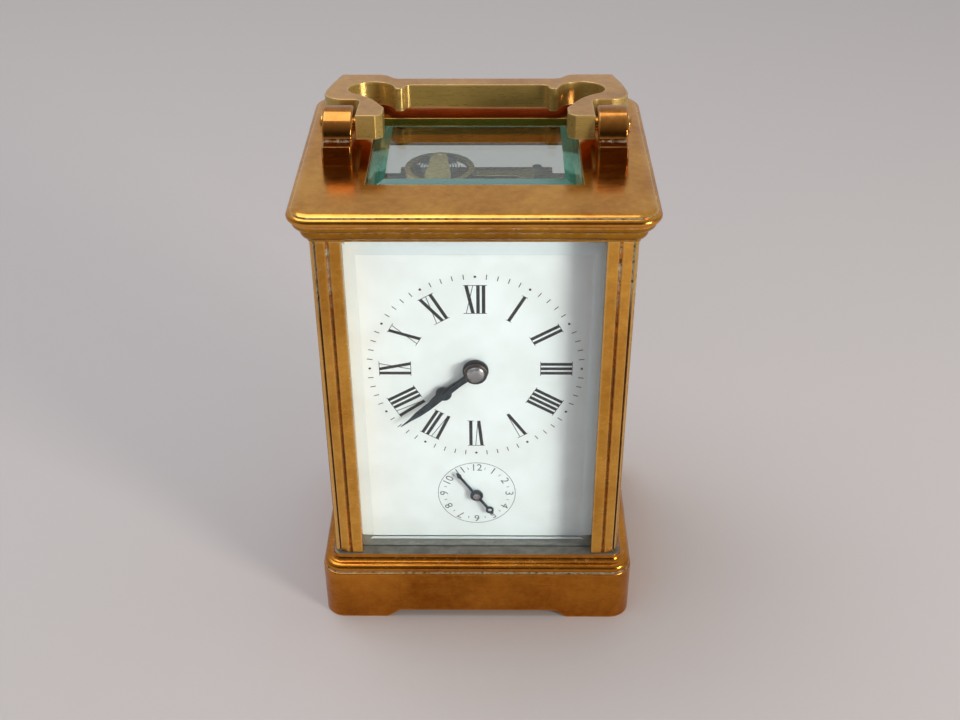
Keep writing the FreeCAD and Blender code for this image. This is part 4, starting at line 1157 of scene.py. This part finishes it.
@dataclass
class Movement:
    """Plates, train, platform and alarm work behind the glass."""

    shop: Workshop
    plate_edge: float = 0.15
    bridge_edge: float = 0.12
    cock_edge: float = 0.2

    def build(self) -> None:
        """Dress the plates and paint every other piece."""
        for node in ("movement_front_plate", "movement_back_plate", "platform"):
            self.shop.dress(node, self.plate_edge)
        self.shop.dress("escape_bridge", self.bridge_edge)
        self.shop.dress("balance_cock", self.cock_edge)
        shown = [node for node, piece in self.shop.frame["nodes"].items() if not piece.hide_render]
        for node in shown:
            if self.shop.slot_of(node) is not Slot.GLASS:
                self.shop.paint(node)


@dataclass(frozen=True)
class Lamp:
    """Square soft lamp, in metres and watts. Polished faces show it unless it isn't mirrored."""

    name: str
    place: Point
    aim: Point
    size: float
    watts: float
    colour: str
    mirrored: bool = True

    def build(self) -> None:
        """Hang the lamp."""
        data = bpy.data.lights.new(self.name, "AREA")
        data.size = self.size
        data.energy = self.watts
        data.color = linear(self.colour)[:3]
        lamp = bpy.data.objects.new(self.name, data)
        lamp.location = self.place
        lamp.visible_glossy = self.mirrored
        lamp.rotation_euler = (Vector(self.aim) - Vector(self.place)).to_track_quat("-Z", "Y").to_euler()
        bpy.context.scene.collection.objects.link(lamp)


LAMPS = (
    Lamp("key", (0.64, -0.54, 0.26), (0.0, 0.0, 0.06), 0.2, 4.8, "FFFBF4"),
    Lamp("fill", (-0.35, -0.8, 0.6), (0.0, 0.0, 0.08), 0.8, 1.2, "F4F6FF", mirrored=False),
    Lamp("top", (-0.25, 0.1, 0.9), (0.0, 0.0, 0.1), 0.7, 4.0, "EEF3FF"),
)


@dataclass
class Studio:
    """Floor, light and camera."""

    camera_mm: Point = (4.676, -271.904, 239.790)
    focal_px: float = 1307.394
    pitch: float = 33.905
    yaw: float = -0.840
    roll: float = -0.377
    width_px: int = 960
    sensor_mm: float = 36.0
    nearest: float = 0.01
    floor_half: float = 3.0
    floor_colour: str = "C4BAB5"
    floor_roughness: float = 0.9
    room_low: str = "3A3531"
    room_middle: str = "96938E"
    room_high: str = "C8D0D7"
    room_rise: float = 0.7
    room_span: Span = (-0.8, 0.8)

    def camera(self) -> None:
        """Camera at the photograph's viewpoint."""
        pitch, yaw, roll = (math.radians(value) for value in (self.pitch, self.yaw, self.roll))
        ahead = Vector((math.sin(yaw) * math.cos(pitch), math.cos(yaw) * math.cos(pitch), -math.sin(pitch)))
        level = Vector((math.cos(yaw), -math.sin(yaw), 0.0))
        upward = level.cross(ahead)
        right = math.cos(roll) * level + math.sin(roll) * upward
        up = -math.sin(roll) * level + math.cos(roll) * upward
        data = bpy.data.cameras.new("camera")
        data.sensor_width = self.sensor_mm
        data.lens = self.focal_px / self.width_px * data.sensor_width
        data.clip_start = self.nearest
        eye = bpy.data.objects.new("camera", data)
        turn = Matrix((right, up, -ahead)).transposed().to_4x4()
        eye.matrix_world = Matrix.Translation(Vector(self.camera_mm) * MM) @ turn
        bpy.context.scene.collection.objects.link(eye)
        bpy.context.scene.camera = eye

    def floor(self) -> None:
        """Plain pale floor."""
        shape = bmesh.new()
        bmesh.ops.create_grid(shape, x_segments=1, y_segments=1, size=self.floor_half)
        mesh = bpy.data.meshes.new("floor")
        shape.to_mesh(mesh)
        shape.free()
        material, _, shader = new_material("pale_floor")
        shader.inputs["Base Color"].default_value = linear(self.floor_colour)
        shader.inputs["Roughness"].default_value = self.floor_roughness
        mesh.materials.append(material)
        floor = bpy.data.objects.new("floor", mesh)
        bpy.context.scene.collection.objects.link(floor)

    def world(self) -> None:
        """Soft room light: a pale wall behind the clock, a dim room in front of it."""
        world = bpy.data.worlds.new("room")
        world.use_nodes = True
        bpy.context.scene.world = world
        tree = world.node_tree
        parts = add(tree, "SeparateXYZ", {0: coordinates(tree, "Generated")})
        rise = calc(tree, "MULTIPLY_ADD", parts.outputs["Z"], self.room_rise, parts.outputs["Y"])
        stops = [(0.0, linear(self.room_low)), (1.0, linear(self.room_high)), (0.5, linear(self.room_middle))]
        colour = ramp(tree, remap(tree, rise, self.room_span), stops)
        tree.links.new(colour, tree.nodes["Background"].inputs["Color"])

    def build(self) -> None:
        """Set up floor, light and camera."""
        self.floor()
        self.world()
        for lamp in LAMPS:
            lamp.build()
        self.camera()
        bpy.context.scene.view_settings.view_transform = "Standard"


def main() -> None:
    """Build every sub-assembly."""
    logging.basicConfig(level=logging.INFO, format="%(message)s")
    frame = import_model()
    shop = Workshop(frame)
    for part in (Case(shop), Glazing(shop), Handle(shop), DialPrint(shop), Hands(shop), Movement(shop)):
        part.build()
        LOG.info("built %s", type(part).__name__)
    Studio().build()


if __name__ == "__main__":
    main()
